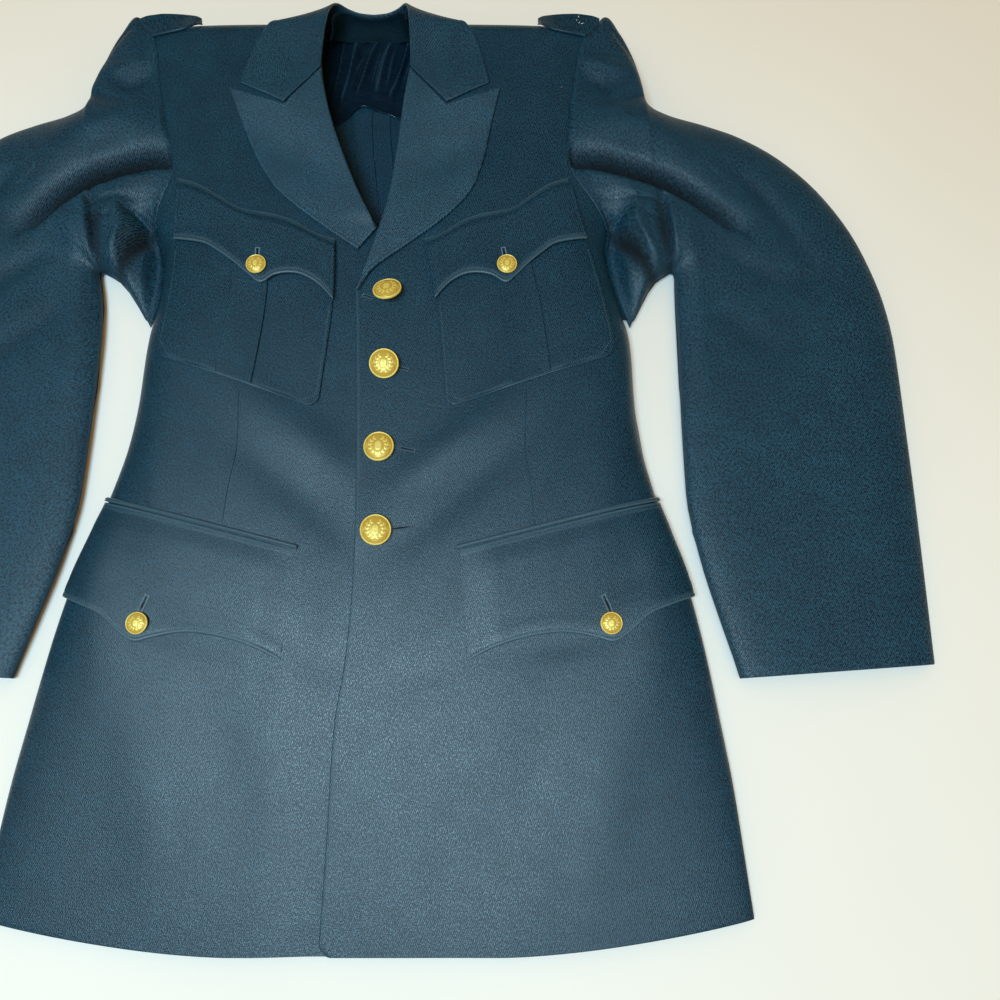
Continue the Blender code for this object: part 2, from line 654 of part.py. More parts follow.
# ---- pockets ---------------------------------------------------------------
class Frame:
    """A slanted patch on the front: `across` and `down` turn its sizes into u and v."""

    def __init__(self, corner, slant, width, left_lean, right_lean):
        self.corner = corner
        self.slant = math.radians(slant)
        self.width = width
        self.leans = math.radians(left_lean), math.radians(right_lean)

    def at(self, across, down):
        left, right = self.leans
        side_lean = left + (right - left) * across / self.width
        u = self.corner[0] + across * math.cos(self.slant) + down * math.sin(side_lean)
        v = self.corner[1] + across * math.sin(self.slant) - down * math.cos(side_lean)
        return u, v


def wrap_arc(u, v):
    """Arc length of u on row v; where the side rolls away, u is measured along the cloth."""
    flat_u = along(HALF_WIDTH, v) - 14
    return arc_at(min(u, flat_u), v) + max(0.0, u - flat_u)


def reach(frame, down):
    """How much of a piece's width lies on the front before the floor is reached."""
    across = frame.width
    while True:
        u, v = frame.at(across, down)
        if wrap_arc(u, v) <= side_arc(v) - 3.0:
            return across
        across -= 1.0


def laid_row(frame, shares, down):
    """One row of (arc, v); `down` gives the distance below the top for each share."""
    usable = reach(frame, down(1.0)) / frame.width
    row = []
    for f in shares:
        u, v = frame.at(f * usable * frame.width, down(f * usable))
        row.append((wrap_arc(u, v), v))
    return row


BREAST = Frame((35.7, 522.7), 25.1, 138.7, 4.5, 4.5)
POCKET = Frame((35.7, 522.7), 25.1, 138.7, 5.0, 7.4)
LOWER = Frame((58.5, 271.0), 14.4, 214.0, 5.5, 5.5)
# Rows of (share of the width, depth) of the flaps' three-point lower edges.
BREAST_FLAP_EDGE = [(0, 54.5), (0.09, 47.5), (0.185, 45.5), (0.27, 48.2), (0.36, 55.3), (0.455, 67),
                    (0.51, 64.5), (0.61, 58.7), (0.714, 54.1), (0.79, 51.8), (0.915, 54), (1, 56)]
LOWER_FLAP_EDGE = [(0, 80), (0.086, 75.6), (0.185, 74), (0.263, 74.8), (0.333, 77.2), (0.4, 82.2),
                   (0.454, 87.7), (0.507, 92.7), (0.574, 87.3), (0.628, 80.6), (0.707, 77.4), (0.8, 76),
                   (0.9, 76.5), (1, 80)]
BREAST_SHARES = [0, 0.04, 0.09, 0.14, 0.2, 0.26, 0.32, 0.39, 0.455, 0.53, 0.61, 0.7, 0.78, 0.86, 0.93, 1]
LOWER_SHARES = [0, 0.04, 0.09, 0.15, 0.21, 0.27, 0.33, 0.39, 0.45, 0.507, 0.55, 0.6, 0.65, 0.71, 0.78,
                0.85, 0.92, 1]
POCKET_CLOTH, PLEAT_CLOTH, FLAP_CLOTH = 1.2, 1.0, 2.0
POCKET_TOP = 12.0
POCKET_FEET = (144.3, 155.8)        # depth of the pocket at its left and at its right corner
POCKET_ROUND = 11.0
PLEAT_WIDTH = 30.0
WELT_HEIGHT, WELT_CLOTH = 4.2, 1.8
BREAST_RIDE = LIFT + POCKET_CLOTH + LIFT + PLEAT_CLOTH + LIFT


def pocket_point(across, g):
    """Point (arc, v) of the breast pocket, g of the way down from its top."""
    foot = POCKET_FEET[0] + (POCKET_FEET[1] - POCKET_FEET[0]) * across / POCKET.width
    u, v = POCKET.at(across, POCKET_TOP + (foot - POCKET_TOP) * g)
    return wrap_arc(u, v), v


def make_breast_pocket(word, side):
    """Patch pocket: its lower corners are rounded off."""
    flat = []
    depth = POCKET_FEET[0] - POCKET_TOP
    for g in [0, 0.15, 0.3, 0.45, 0.6, 0.75, 0.9, 0.93, 0.96, 0.985, 1]:
        below = max(0.0, g * depth - (depth - POCKET_ROUND))
        inset = POCKET_ROUND - math.sqrt(max(0.0, POCKET_ROUND ** 2 - below ** 2))
        flat.append([pocket_point(across, g)
                     for across in spread(inset + 0.5, POCKET.width - 0.5 - inset, 9)])
    return body_piece("breast_pocket_" + word, side, flat, POCKET_CLOTH)


def make_breast_pleat(word, side):
    middle = POCKET.width / 2
    flat = [[pocket_point(across, g)
             for across in spread(middle - PLEAT_WIDTH / 2, middle + PLEAT_WIDTH / 2, 4)]
            for g in spread(0.06, 0.995, 11)]
    above = LIFT + POCKET_CLOTH + LIFT
    return body_piece("breast_pleat_" + word, side, flat, PLEAT_CLOTH, out=lambda i, j: above)


def make_flap(name, side, frame, edge, shares, ride):
    """Three-point flap sewn down along its top and lying over what is below it."""
    flat, downs = [], []
    for g in (0.0, 0.1, 0.2, 0.36, 0.68, 1.0):
        flat.append(laid_row(frame, shares, lambda share: g * along(edge, share)))
        downs.append(g * edge[0][1])
    return body_piece(name, side, flat, FLAP_CLOTH,
                      out=lambda i, j: LIFT + (ride - LIFT) * ease(downs[i] / 11))


def make_welt(word, side):
    flat = [laid_row(LOWER, spread(0, 1, 15), lambda share: -height) for height in (0.6, WELT_HEIGHT)]
    return body_piece("lower_welt_" + word, side, flat, WELT_CLOTH)


# ---- shoulder loops --------------------------------------------------------
LOOP_CLOTH = 2.6
LOOP_FALL = 1.6             # the near edge lies at most this far below the far one
# Rows of (u, near edge v, far edge v, height of the far edge).
LOOP_ROUTE = [(148.5, 744.5, 746.5, 31.5), (152, 741, 748.2, 31.7), (158, 738, 748.8, 32.3),
              (170, 736.5, 749.2, 33.2), (181, 736.5, 749.4, 33.4), (190, 737, 749.2, 32.6),
              (197, 741, 748.3, 32.2), (203, 743.5, 746.8, 31.2)]


def make_shoulder_loop(word, side):
    """End of a shoulder loop: it lies on the front and stands out over the shoulder seam."""
    outer, inner = [], []
    for u, near, far, far_z in LOOP_ROUTE:
        seat = on_body(side, u, near, LIFT)[0]
        seat.z = max(seat.z, far_z - LOOP_FALL)
        end = Vector((lean(far) + side * u, far, far_z))
        inner.append([seat.lerp(end, f) for f in spread(0, 1, 3)])
        outer.append([p + Vector((0, 0, LOOP_CLOTH)) for p in inner[-1]])
    return slab("shoulder_loop_" + word, outer, inner, WOOL)


# ---- buttons ---------------------------------------------------------------
BUTTON_SIDES = 16
LARGE_BUTTON, SMALL_BUTTON = 22.9, 15.9
# Rows of (share of the radius, share of the height) from the crown down to the shank.
BUTTON_PROFILE = [(0.42, 0.95), (0.78, 0.74), (0.95, 0.52), (1.0, 0.36), (0.92, 0.22), (0.2, 0.22),
                  (0.2, 0.0)]
# Rows of (u, v, tilt across, tilt up) of the front buttons, on the wearer's left.
FRONT_BUTTONS = [(3.4, 474.3, -0.1, 0.28), (1.3, 412.4, 0.0, -0.25), (-0.8, 348.7, 0.0, 0.05),
                 (-1.0, 285.6, 0.05, 0.0)]
BREAST_BUTTON, LOWER_BUTTON = (64.9, 53.6), (106.6, 79.3)   # across and down its flap


def make_button(name, side, u, v, rise, diameter, tilt=(0.0, 0.0)):
    """A domed button on its shank; a tilted one stands higher on a longer shank."""
    height = diameter * 0.27
    extra = math.hypot(*tilt) * diameter * 0.42
    shank_foot = -max(0.0, extra - 0.8)
    point, normal = on_body(side, u, v, rise + extra)
    normal = (normal + Vector((tilt[0], tilt[1], 0))).normalized()
    turn = Vector((0, 0, 1)).rotation_difference(normal)
    bm = bmesh.new()

    def place(radius, up, angle):
        local = Vector((radius * math.cos(angle), radius * math.sin(angle), up))
        return bm.verts.new((Vector((0, -HALF_LENGTH, 0)) + point + turn @ local) * MM)

    rings = [[place(r * diameter / 2, h * height if h else shank_foot, 2 * math.pi * k / BUTTON_SIDES)
              for k in range(BUTTON_SIDES)] for r, h in BUTTON_PROFILE]
    crown, foot = place(0, height, 0), place(0, shank_foot, 0)
    for k in range(BUTTON_SIDES):
        n = (k + 1) % BUTTON_SIDES
        bm.faces.new((crown, rings[0][k], rings[0][n]))
        for ring, lower in zip(rings, rings[1:]):
            bm.faces.new((ring[k], lower[k], lower[n], ring[n]))
        bm.faces.new((foot, rings[-1][n], rings[-1][k]))
    bmesh.ops.recalc_face_normals(bm, faces=bm.faces[:])
    return add_object(name, bm, BRASS)


def make_buttons():
    for number, (u, v, *tilt) in enumerate(FRONT_BUTTONS, 1):
        make_button("front_button_%d" % number, LEFT, u, v, LIFT, LARGE_BUTTON, tilt)
    for word, side in SIDES.items():
        u, v = BREAST.at(*BREAST_BUTTON)
        rise = BREAST_RIDE + FLAP_CLOTH + LIFT
        make_button("breast_button_" + word, side, u, v, rise, SMALL_BUTTON)
        u, v = LOWER.at(*LOWER_BUTTON)
        make_button("lower_button_" + word, side, u, v, LIFT + FLAP_CLOTH + LIFT, SMALL_BUTTON)


def main():
    for thing in list(bpy.data.objects):
        bpy.data.objects.remove(thing)
    for word, side in SIDES.items():
        make_back(word, side)
        make_front(word, side)
        make_lapel(word, side)
        make_collar(word, side)
        make_sleeve_upper(word, side)
        make_sleeve_under(word, side)
        make_breast_pocket(word, side)
        make_breast_pleat(word, side)
        make_flap("breast_flap_" + word, side, BREAST, BREAST_FLAP_EDGE, BREAST_SHARES, BREAST_RIDE)
        make_flap("lower_flap_" + word, side, LOWER, LOWER_FLAP_EDGE, LOWER_SHARES, LIFT)
        make_welt(word, side)
        make_shoulder_loop(word, side)
    make_collar_stand()
    make_half_lining()
    make_buttons()


main()
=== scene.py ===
"""Looks of the military dress tunic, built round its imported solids.

Sizes are in millimetres in the coat's own coordinates and become metres where a mesh is
made.  x runs across towards the wearer's left, y from the hem up to the collar, z up
from the surface that the coat lies on.  On the body, `u` is the distance from the centre
line, `v` the distance above the hem, and `side` is +1 for the wearer's left, -1 for the
right.  The shape functions take whole grids of places at once.
"""

import math

import bpy
import numpy as np
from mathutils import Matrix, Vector


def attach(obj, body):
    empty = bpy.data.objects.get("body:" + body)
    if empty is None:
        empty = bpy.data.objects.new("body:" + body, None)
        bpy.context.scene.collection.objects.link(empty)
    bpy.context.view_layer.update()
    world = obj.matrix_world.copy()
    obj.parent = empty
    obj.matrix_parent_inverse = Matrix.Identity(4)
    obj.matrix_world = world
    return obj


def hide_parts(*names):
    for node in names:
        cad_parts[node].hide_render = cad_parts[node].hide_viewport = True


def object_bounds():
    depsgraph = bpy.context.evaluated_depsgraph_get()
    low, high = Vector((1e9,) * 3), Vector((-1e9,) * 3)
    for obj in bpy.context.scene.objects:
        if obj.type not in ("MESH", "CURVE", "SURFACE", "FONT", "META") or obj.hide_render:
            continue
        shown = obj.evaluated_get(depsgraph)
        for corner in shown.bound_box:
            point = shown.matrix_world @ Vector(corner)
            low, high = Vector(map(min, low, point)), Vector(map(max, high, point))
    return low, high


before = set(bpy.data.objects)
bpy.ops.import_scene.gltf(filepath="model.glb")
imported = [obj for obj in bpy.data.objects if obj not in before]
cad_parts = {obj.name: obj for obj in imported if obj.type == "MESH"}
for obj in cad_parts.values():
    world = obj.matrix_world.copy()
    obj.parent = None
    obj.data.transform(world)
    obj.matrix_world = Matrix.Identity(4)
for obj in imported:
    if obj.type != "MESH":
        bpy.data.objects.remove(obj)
CAD_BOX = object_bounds()

MM = 0.001
LEFT, RIGHT = 1, -1
SIDES = {"left": LEFT, "right": RIGHT}
HALF_LENGTH = -CAD_BOX[0].y / MM

# ---- sizes shared with the solids ------------------------------------------
COAT_TOP = 750.0            # shoulder line above the hem
CLOTH = 2.0                 # wool cloth with its canvas
SEAM = 0.3                  # air between two pieces that are sewn together
LIFT = 0.45                 # air under a piece that lies on a curved panel
EDGE_LIFT = 0.75            # more air where the panel rolls away at the side
SIDE_SEAM_Z = 5.0           # height of the seam that runs along the side edge
SHOULDER_ROLL = 727.0       # where the front starts to roll over the shoulder
ARMHOLE_FOOT = 544.0        # lowest point of the armhole
V_FOOT = 532.0              # where the two roll lines cross
LAP_RUN, LAP_DROP = 44.0, 2.65      # width and depth over which the right front sinks
# Tables run up the coat: rows of (v, value).
HALF_WIDTH = [(0, 262), (120, 252), (252, 230), (292, 217), (321, 209), (351, 202), (383, 198),
              (453, 195), (467, 191.5), (490, 187), (515, 184.5), (530, 185.5), (544, 190.5),
              (600, 207), (750, 212)]
CROWN = [(0, 9.5), (60, 12), (150, 18), (250, 25), (350, 30), (450, 34), (550, 36),
         (650, 36.5), (700, 37.5), (750, 40)]
FRONT_EDGE = [(0, -31), (63, -29), (155, -26), (190, -21), (276, -17), (368, -19), (450, -22.5),
              (475, -23), (505, -11.5), (532, 0), (554, 8.5), (573, 15), (600, 21.5), (634, 29),
              (660, 33.5), (690, 38), (750, 44)]
ARMHOLE = [(544, 190.5), (552, 187.5), (560, 182.3), (570, 175.7), (580, 169.3), (590, 165.3),
           (602, 164.3), (622, 167.5), (660, 173.9), (682, 178), (713, 183.2), (726, 187), (750, 190.5)]
LEAN, LEAN_FROM, LEAN_TO = -25.0, 440.0, 690.0
HEM_LIFT, HEM_FLAT, HEM_REACH = 22.0, 90.0, 172.0
SHOULDER_DROP = 2.0
EDGE_POWER, PADDED_POWER = 7.0, 9.0
CORNER = 9.0                # radius of the corner at the foot of the front edge


# ---- curves ----------------------------------------------------------------
def ease(t):
    """Smooth step from 0 to 1."""
    t = np.clip(t, 0.0, 1.0)
    return t * t * (3 - 2 * t)


def bell(t):
    """Smooth bump, 1 at 0."""
    return np.exp(-np.square(t))


def along(table, t):
    """Smooth values at t through rows of (t, value...), held flat past both ends."""
    keys = np.array([row[0] for row in table], float)
    values = np.array([row[1:] for row in table], float)
    t = np.clip(np.asarray(t, float), keys[0], keys[-1])
    i = np.clip(np.searchsorted(keys, t, side="right") - 1, 0, len(keys) - 2)
    span = np.diff(keys)
    chords = np.diff(values, axis=0) / span[:, None]
    before = np.vstack([chords[:1], chords])
    after = np.vstack([chords, chords[-1:]])
    slopes = np.where(before * after > 0, (before + after) / 2, 0.0)
    limit = 3 * np.abs(chords)
    start = np.clip(slopes[:-1], -limit, limit)[i]
    end = np.clip(slopes[1:], -limit, limit)[i]
    width = span[i][..., None]
    f = (t - keys[i])[..., None] / width
    result = (values[i] * (1 + 2 * f) * (1 - f) ** 2 + start * width * f * (1 - f) ** 2
              + values[i + 1] * f * f * (3 - 2 * f) - end * width * f * f * (1 - f))
    return result if values.shape[1] > 1 else result[..., 0]


def smooth_path(points, count):
    """Evenly spread points on a smooth curve through a few."""
    points = np.array(points, float)
    reach = np.concatenate([[0], np.cumsum(np.linalg.norm(np.diff(points, axis=0), axis=1))])
    table = [(t, *p) for t, p in zip(reach, points)]
    return along(table, np.linspace(0, reach[-1], count))


RIM_STEPS = np.array([0.0, 0.12, 0.4, 0.95])     # rows of a rounded rim, from its border


def spaced(length, step, start_rim=True, end_rim=True):
    """Shares of a length, a step apart, with more of them at its rounded ends."""
    count = max(2, round((length - 2 * RIM_STEPS[-1]) / step))
    places = np.linspace(RIM_STEPS[-1], length - RIM_STEPS[-1], count + 1)
    head = RIM_STEPS[:-1] if start_rim else [0.0]
    tail = length - RIM_STEPS[-2::-1] if end_rim else [length]
    return np.concatenate([head, places, tail]) / length


def pair(a, b):
    """Grid of places (a, b) in a cloth."""
    return np.stack(np.broadcast_arrays(a, b), axis=-1)


def unit(vectors):
    return vectors / np.maximum(np.linalg.norm(vectors, axis=-1, keepdims=True), 1e-9)


def xyz(x, y, z):
    """Grid of points from three grids that broadcast together."""
    return np.stack(np.broadcast_arrays(x, y, z), axis=-1).astype(float)


# ---- the body's outer surface ----------------------------------------------
def lean(v):
    """How far row v lies to the right, because the coat lies a little askew."""
    return LEAN * ease((v - LEAN_FROM) / (LEAN_TO - LEAN_FROM))


def row_shift(u, v):
    """How far a point of row v lies above or below v, for the hem and the shoulder."""
    outward = np.maximum(0.0, np.abs(u) - HEM_FLAT) / HEM_REACH
    hem = HEM_LIFT * outward ** 1.6 * np.maximum(0.0, 1 - v / 150)
    return hem - SHOULDER_DROP * (u / 180) ** 2 * ease((v - 600) / 150)


SECTION_POINTS, SECTION_BUNCH, ROLL_STEPS = 700, 2.2, 40
BODY_ROWS = np.concatenate([
    np.arange(0, SHOULDER_ROLL, 1.0),
    SHOULDER_ROLL + (COAT_TOP - SHOULDER_ROLL) * np.sin(np.linspace(0, math.pi / 2, ROLL_STEPS))])


def body_tables():
    """Arc length by place across, and u and z by share of the arc, of every body row."""
    v = BODY_ROWS[:, None]
    over = np.maximum(v - SHOULDER_ROLL, 0) / (COAT_TOP - SHOULDER_ROLL)
    rise = (along(CROWN, v) - SIDE_SEAM_Z) * np.sqrt(np.clip(1 - over ** 2, 0, 1))
    power = EDGE_POWER + (PADDED_POWER - EDGE_POWER) * ease((v - 620) / 100)
    place = 1 - (1 - np.linspace(0, 1, SECTION_POINTS)) ** SECTION_BUNCH
    u = along(HALF_WIDTH, v) * place
    z = SIDE_SEAM_Z + rise * np.sqrt(np.clip(1 - place ** power, 0, 1))
    steps = np.hypot(np.diff(u, axis=1), np.diff(z, axis=1))
    arc = np.hstack([np.zeros_like(v), np.cumsum(steps, axis=1)])
    even = np.linspace(0, 1, SECTION_POINTS)
    u_rows = np.array([np.interp(even * a[-1], a, row) for a, row in zip(arc, u)])
    z_rows = np.array([np.interp(even * a[-1], a, row) for a, row in zip(arc, z)])
    return arc, u_rows, z_rows


ARC_BY_PLACE, U_BY_SHARE, Z_BY_SHARE = body_tables()


def read(table, v, share):
    """Value of a table at row v and a share of its width."""
    v, share = np.broadcast_arrays(v, share)
    k = np.clip(np.searchsorted(BODY_ROWS, v, side="right") - 1, 0, len(BODY_ROWS) - 2)
    g = np.clip((v - BODY_ROWS[k]) / (BODY_ROWS[k + 1] - BODY_ROWS[k]), 0, 1)
    x = np.clip(share, 0, 1) * (SECTION_POINTS - 1)
    j = np.clip(x.astype(int), 0, SECTION_POINTS - 2)
    h = x - j
    low = table[k, j] * (1 - h) + table[k, j + 1] * h
    high = table[k + 1, j] * (1 - h) + table[k + 1, j + 1] * h
    return low * (1 - g) + high * g


def side_arc(v):
    """Arc length from the centre line to the side seam."""
    return read(ARC_BY_PLACE, v, 1.0)


def arc_at(u, v):
    """Arc length from the centre line to the point of row v that is u from it."""
    place = np.clip(np.abs(u) / along(HALF_WIDTH, v), 0, 1)
    return np.copysign(read(ARC_BY_PLACE, v, 1 - (1 - place) ** (1 / SECTION_BUNCH)), u)


def section_at(arc, v):
    """The u and z of a point of row v by its arc length."""
    share = np.abs(arc) / side_arc(v)
    return np.copysign(read(U_BY_SHARE, v, share), arc), read(Z_BY_SHARE, v, share)


def lap(side, u, v):
    """How far the right front sinks to pass under the left one."""
    if side == LEFT:
        return 0.0
    cover = -along(FRONT_EDGE, v)
    return -LAP_DROP * ease((cover + LAP_RUN + 1 - u) / LAP_RUN) * ease((V_FOOT + 16 - v) / 14)


# Soft dents and swellings of the body: (u, v, direction, half length, half width, height).
BODY_WAVES = {
    LEFT: [(55, 352, 40, 62, 15, 2.6), (62, 318, 42, 60, 15, -2.3), (24, 300, 30, 40, 12, 0.8),
           (30, 180, 20, 40, 12, -0.8), (140, 205, 12, 40, 11, -1.3), (185, 250, 30, 32, 10, -0.9),
           (110, 120, 70, 80, 22, -0.9), (165, 100, 80, 70, 22, 0.9), (60, 70, 85, 60, 20, -0.7),
           (105, 455, 70, 60, 18, -0.8), (150, 480, 80, 50, 14, 0.8), (150, 375, 80, 70, 16, -0.9),
           (175, 330, 75, 60, 13, 0.9), (80, 668, 20, 50, 22, 3.2), (66, 602, 28, 50, 20, -3.4),
           (140, 640, 60, 60, 18, 0.9), (172, 520, 70, 30, 9, -0.7), (208, 235, 78, 70, 24, 2.6)],
    RIGHT: [(60, 360, 38, 58, 16, 1.8), (70, 322, 40, 60, 15, -1.6), (35, 190, 25, 44, 13, -0.8),
            (142, 210, 16, 44, 12, -1.2), (178, 240, 35, 36, 11, -0.9), (105, 130, 74, 76, 22, -0.9),
            (155, 95, 78, 70, 22, 0.9), (98, 450, 74, 60, 18, -0.8), (145, 385, 82, 66, 16, -0.8),
            (172, 345, 78, 56, 12, 0.8), (76, 664, 25, 50, 22, 2.9), (66, 604, 32, 50, 20, -3.0),
            (135, 655, 65, 50, 17, 0.9), (206, 240, 80, 66, 24, 2.4)],
}


def waves(side, u, v):
    """Height of the soft dents and swellings of one front."""
    height = 0.0
    for at_u, at_v, direction, half_length, half_width, rise in BODY_WAVES[side]:
        c, s = math.cos(math.radians(direction)), math.sin(math.radians(direction))
        lengthwise = ((u - at_u) * c + (v - at_v) * s) / half_length
        across = ((u - at_u) * s - (v - at_v) * c) / half_width
        height = height + rise * bell(lengthwise) * bell(across)
    return height


def on_body(side, arc, v, out=0.0):
    """Points of the body's surface moved `out` along their normals, and those normals."""
    arc, v = np.broadcast_arrays(np.asarray(arc, float), np.asarray(v, float))

    def at(a, row):
        u, z = section_at(a, row)
        return xyz(lean(row) + side * u, row + row_shift(u, row), z)

    top = side_arc(v)
    across = at(np.minimum(arc + 2, top), v) - at(np.maximum(arc - 2, -top), v)
    upward = at(arc, np.minimum(v + 1.5, COAT_TOP)) - at(arc, np.maximum(v - 1.5, 0.0))
    upward[v >= COAT_TOP - 0.01] = (0, 0, -1)
    normal = unit(np.cross(across, upward) * side)
    u, _ = section_at(arc, v)
    calm = ease((top - np.abs(arc)) / 20) * ease((COAT_TOP - 6 - v) / 20)
    lift = out + lap(side, u, v) + waves(side, u, v) * calm
    return at(arc, v) + normal * lift[..., None], normal


# ---- meshes ----------------------------------------------------------------
def new_object(name, points, faces, material, uv=None):
    """Mesh object of points in millimetres; `uv` is one place in the cloth per point."""
    points = np.asarray(points, float).reshape(-1, 3)
    mesh = bpy.data.meshes.new(name)
    mesh.from_pydata(((points - (0, HALF_LENGTH, 0)) * MM).tolist(), [], [tuple(f) for f in faces])
    if uv is not None:
        layer = mesh.uv_layers.new(name="cloth")
        loops = np.empty(len(mesh.loops), int)
        mesh.loops.foreach_get("vertex_index", loops)
        layer.data.foreach_set("uv", (np.asarray(uv, float).reshape(-1, 2)[loops] * MM).ravel())
    mesh.shade_smooth()
    mesh.materials.append(material)
    thing = bpy.data.objects.new(name, mesh)
    bpy.context.scene.collection.objects.link(thing)
    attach(thing, "root")
    return thing


def grid_faces(index, flip=False):
    corners = [index[:-1, :-1], index[:-1, 1:], index[1:, 1:], index[1:, :-1]]
    faces = np.stack(corners, -1).reshape(-1, 4)
    return faces[:, ::-1] if flip else faces


def point_values(thing, name, values):
    """Give each point of a mesh a value that its material can read."""
    attribute = thing.data.attributes.new(name, "FLOAT", "POINT")
    attribute.data.foreach_set("value", values)


def run_lengths(points, axis):
    """Distance of every grid point from the first one, along one axis of the grid."""
    steps = np.linalg.norm(np.diff(points, axis=axis), axis=-1)
    first = np.zeros_like(np.take(steps, [0], axis=axis))
    return np.concatenate([first, np.cumsum(steps, axis=axis)], axis=axis)


def rim_distance(points, axes=(0, 1)):
    """Distance of every grid point from the nearest border."""
    nearest = []
    for axis in axes:
        run = run_lengths(points, axis)
        nearest.append(np.minimum(run, np.take(run, [-1], axis=axis) - run))
    return np.minimum.reduce(nearest)


def grid_normals(points, turn=1):
    """Normals of a grid of points; a turn of -1 points them the other way."""
    def difference(axis):
        first, last = np.take(points, [0], axis), np.take(points, [-1], axis)
        padded = np.concatenate([first, points, last], axis)
        count = points.shape[axis]
        return np.take(padded, range(2, count + 2), axis) - np.take(padded, range(count), axis)
    return unit(np.cross(difference(1), difference(0)) * turn)


def shell(name, top, normal, thickness, material, uv, lowest=None, rim=None):
    """Closed wall under a grid of points, its rim rounded over half its thickness.

    `rim` says how much lighter each point of the outer side is painted: painted highlight, with some
    wear, along edges and on crests; below zero it is painted shade inside a crease.
    """
    radius = thickness / 2
    near = np.minimum(rim_distance(top), radius)
    rounding = (radius - np.sqrt(np.maximum(radius ** 2 - (radius - near) ** 2, 0)))[..., None]
    outer = top - normal * rounding
    inner = top - normal * (thickness - rounding)
    if lowest is not None:
        inner[..., 2] = np.maximum(inner[..., 2], lowest)
    rows, cols = top.shape[:2]
    over = np.arange(rows * cols).reshape(rows, cols)
    under = over.copy()
    inside = np.arange((rows - 2) * (cols - 2)).reshape(rows - 2, cols - 2)
    under[1:-1, 1:-1] = rows * cols + inside
    points = np.vstack([outer.reshape(-1, 3), inner[1:-1, 1:-1].reshape(-1, 3)])
    places = np.vstack([uv.reshape(-1, 2), uv[1:-1, 1:-1].reshape(-1, 2)])
    i, j = rows // 2, cols // 2
    across, onward = top[i, j + 1] - top[i, j], top[i + 1, j] - top[i, j]
    flip = np.dot(np.cross(across, onward), normal[i, j]) < 0
    faces = np.vstack([grid_faces(over, flip), grid_faces(under, not flip)])
    thing = new_object(name, points, faces, material, places)
    if rim is not None:
        point_values(thing, "rim", np.concatenate([rim.ravel(), np.zeros(len(points) - rim.size)]))
    return thing


# ---- materials -------------------------------------------------------------
class Nodes:
    """Short calls for building a material's node tree."""

    def __init__(self, name):
        self.material = bpy.data.materials.new(name)
        self.material.use_nodes = True
        self.tree = self.material.node_tree
        self.shader = self.tree.nodes["Principled BSDF"]

    def put(self, node, name, value):
        if isinstance(value, bpy.types.NodeSocket):
            self.tree.links.new(value, node.inputs[name])
        else:
            node.inputs[name].default_value = value

    def add(self, kind, inputs=(), output=0, **settings):
        """Output of a new node with its settings and inputs in place."""
        node = self.tree.nodes.new("ShaderNode" + kind)
        for name, value in settings.items():
            setattr(node, name, value)
        for name, value in dict(inputs).items():
            self.put(node, name, value)
        return node.outputs[output]

    def math(self, operation, *values, clamp=False):
        return self.add("Math", enumerate(values), operation=operation, use_clamp=clamp)

    def total(self, *parts):
        """Sum of (value, weight) pairs."""
        products = [self.math("MULTIPLY", value, weight) for value, weight in parts]
        result = products[0]
        for product in products[1:]:
            result = self.math("ADD", result, product)
        return result

    def noise(self, place, scale, detail=2.0, roughness=0.5):
        inputs = {"Vector": place, "Scale": scale, "Detail": detail, "Roughness": roughness}
        return self.add("TexNoise", inputs, "Fac")

    def mix(self, share, first, second):
        return self.add("Mix", {0: share, 6: first, 7: second}, 2, data_type="RGBA")

    def spread(self, value, low, high, to_low=0.0, to_high=1.0):
        return self.add("MapRange", enumerate((value, low, high, to_low, to_high)))

    def bump(self, height, strength, distance):
        inputs = {"Height": height, "Strength": strength, "Distance": distance}
        self.put(self.shader, "Normal", self.add("Bump", inputs))

    def place(self, source):
        """Cloth coordinates, as a UV map or as the object's own plan."""
        if source == "plan":
            return self.add("TexCoord", output="Object")
        return self.add("UVMap", uv_map=source)

    def axes(self, place):
        x = self.add("SeparateXYZ", {0: place})
        return x, x.node.outputs[1]

    def joined(self, *values):
        return self.add("CombineXYZ", enumerate(values))

    def scaled(self, colour, factor):
        inputs = {0: colour, 1: self.joined(factor, factor, factor)}
        return self.add("VectorMath", inputs, operation="MULTIPLY")

    def point_value(self, name):
        return self.add("Attribute", output="Fac", attribute_name=name)

    def stretched(self, place, across, onward, turn):
        """The place turned, then scaled differently across and along a thread."""
        turned = (0, 0, -math.radians(turn))
        return self.add("Mapping", {"Vector": place, "Rotation": turned, "Scale": (onward, across, 1)})

    def finish(self, **values):
        for name, value in values.items():
            self.put(self.shader, name.replace("_", " "), value)
        return self.material


TWILL_PITCH = 0.0013         # metres between two ribs of the whipcord
TWILL_TURN = 68.0            # slope of its ribs, in degrees from the weft
WOOL_DARK = (0.0002, 0.0034, 0.0080, 1)
WOOL_LIGHT = (0.0100, 0.0760, 0.1280, 1)
# Colours mixed in by the `rim` values: painted highlight (with some wear) on edges, then painted shade
# inside creases.
WOOL_EDGE_HIGHLIGHT = (0.060, 0.130, 0.175, 1)
WOOL_CREASE_SHADE = (0.0002, 0.0010, 0.0020, 1)
FLOAT_SCALE, FUZZ_SCALE = 700.0, 1050.0     # floats and fuzz to the metre


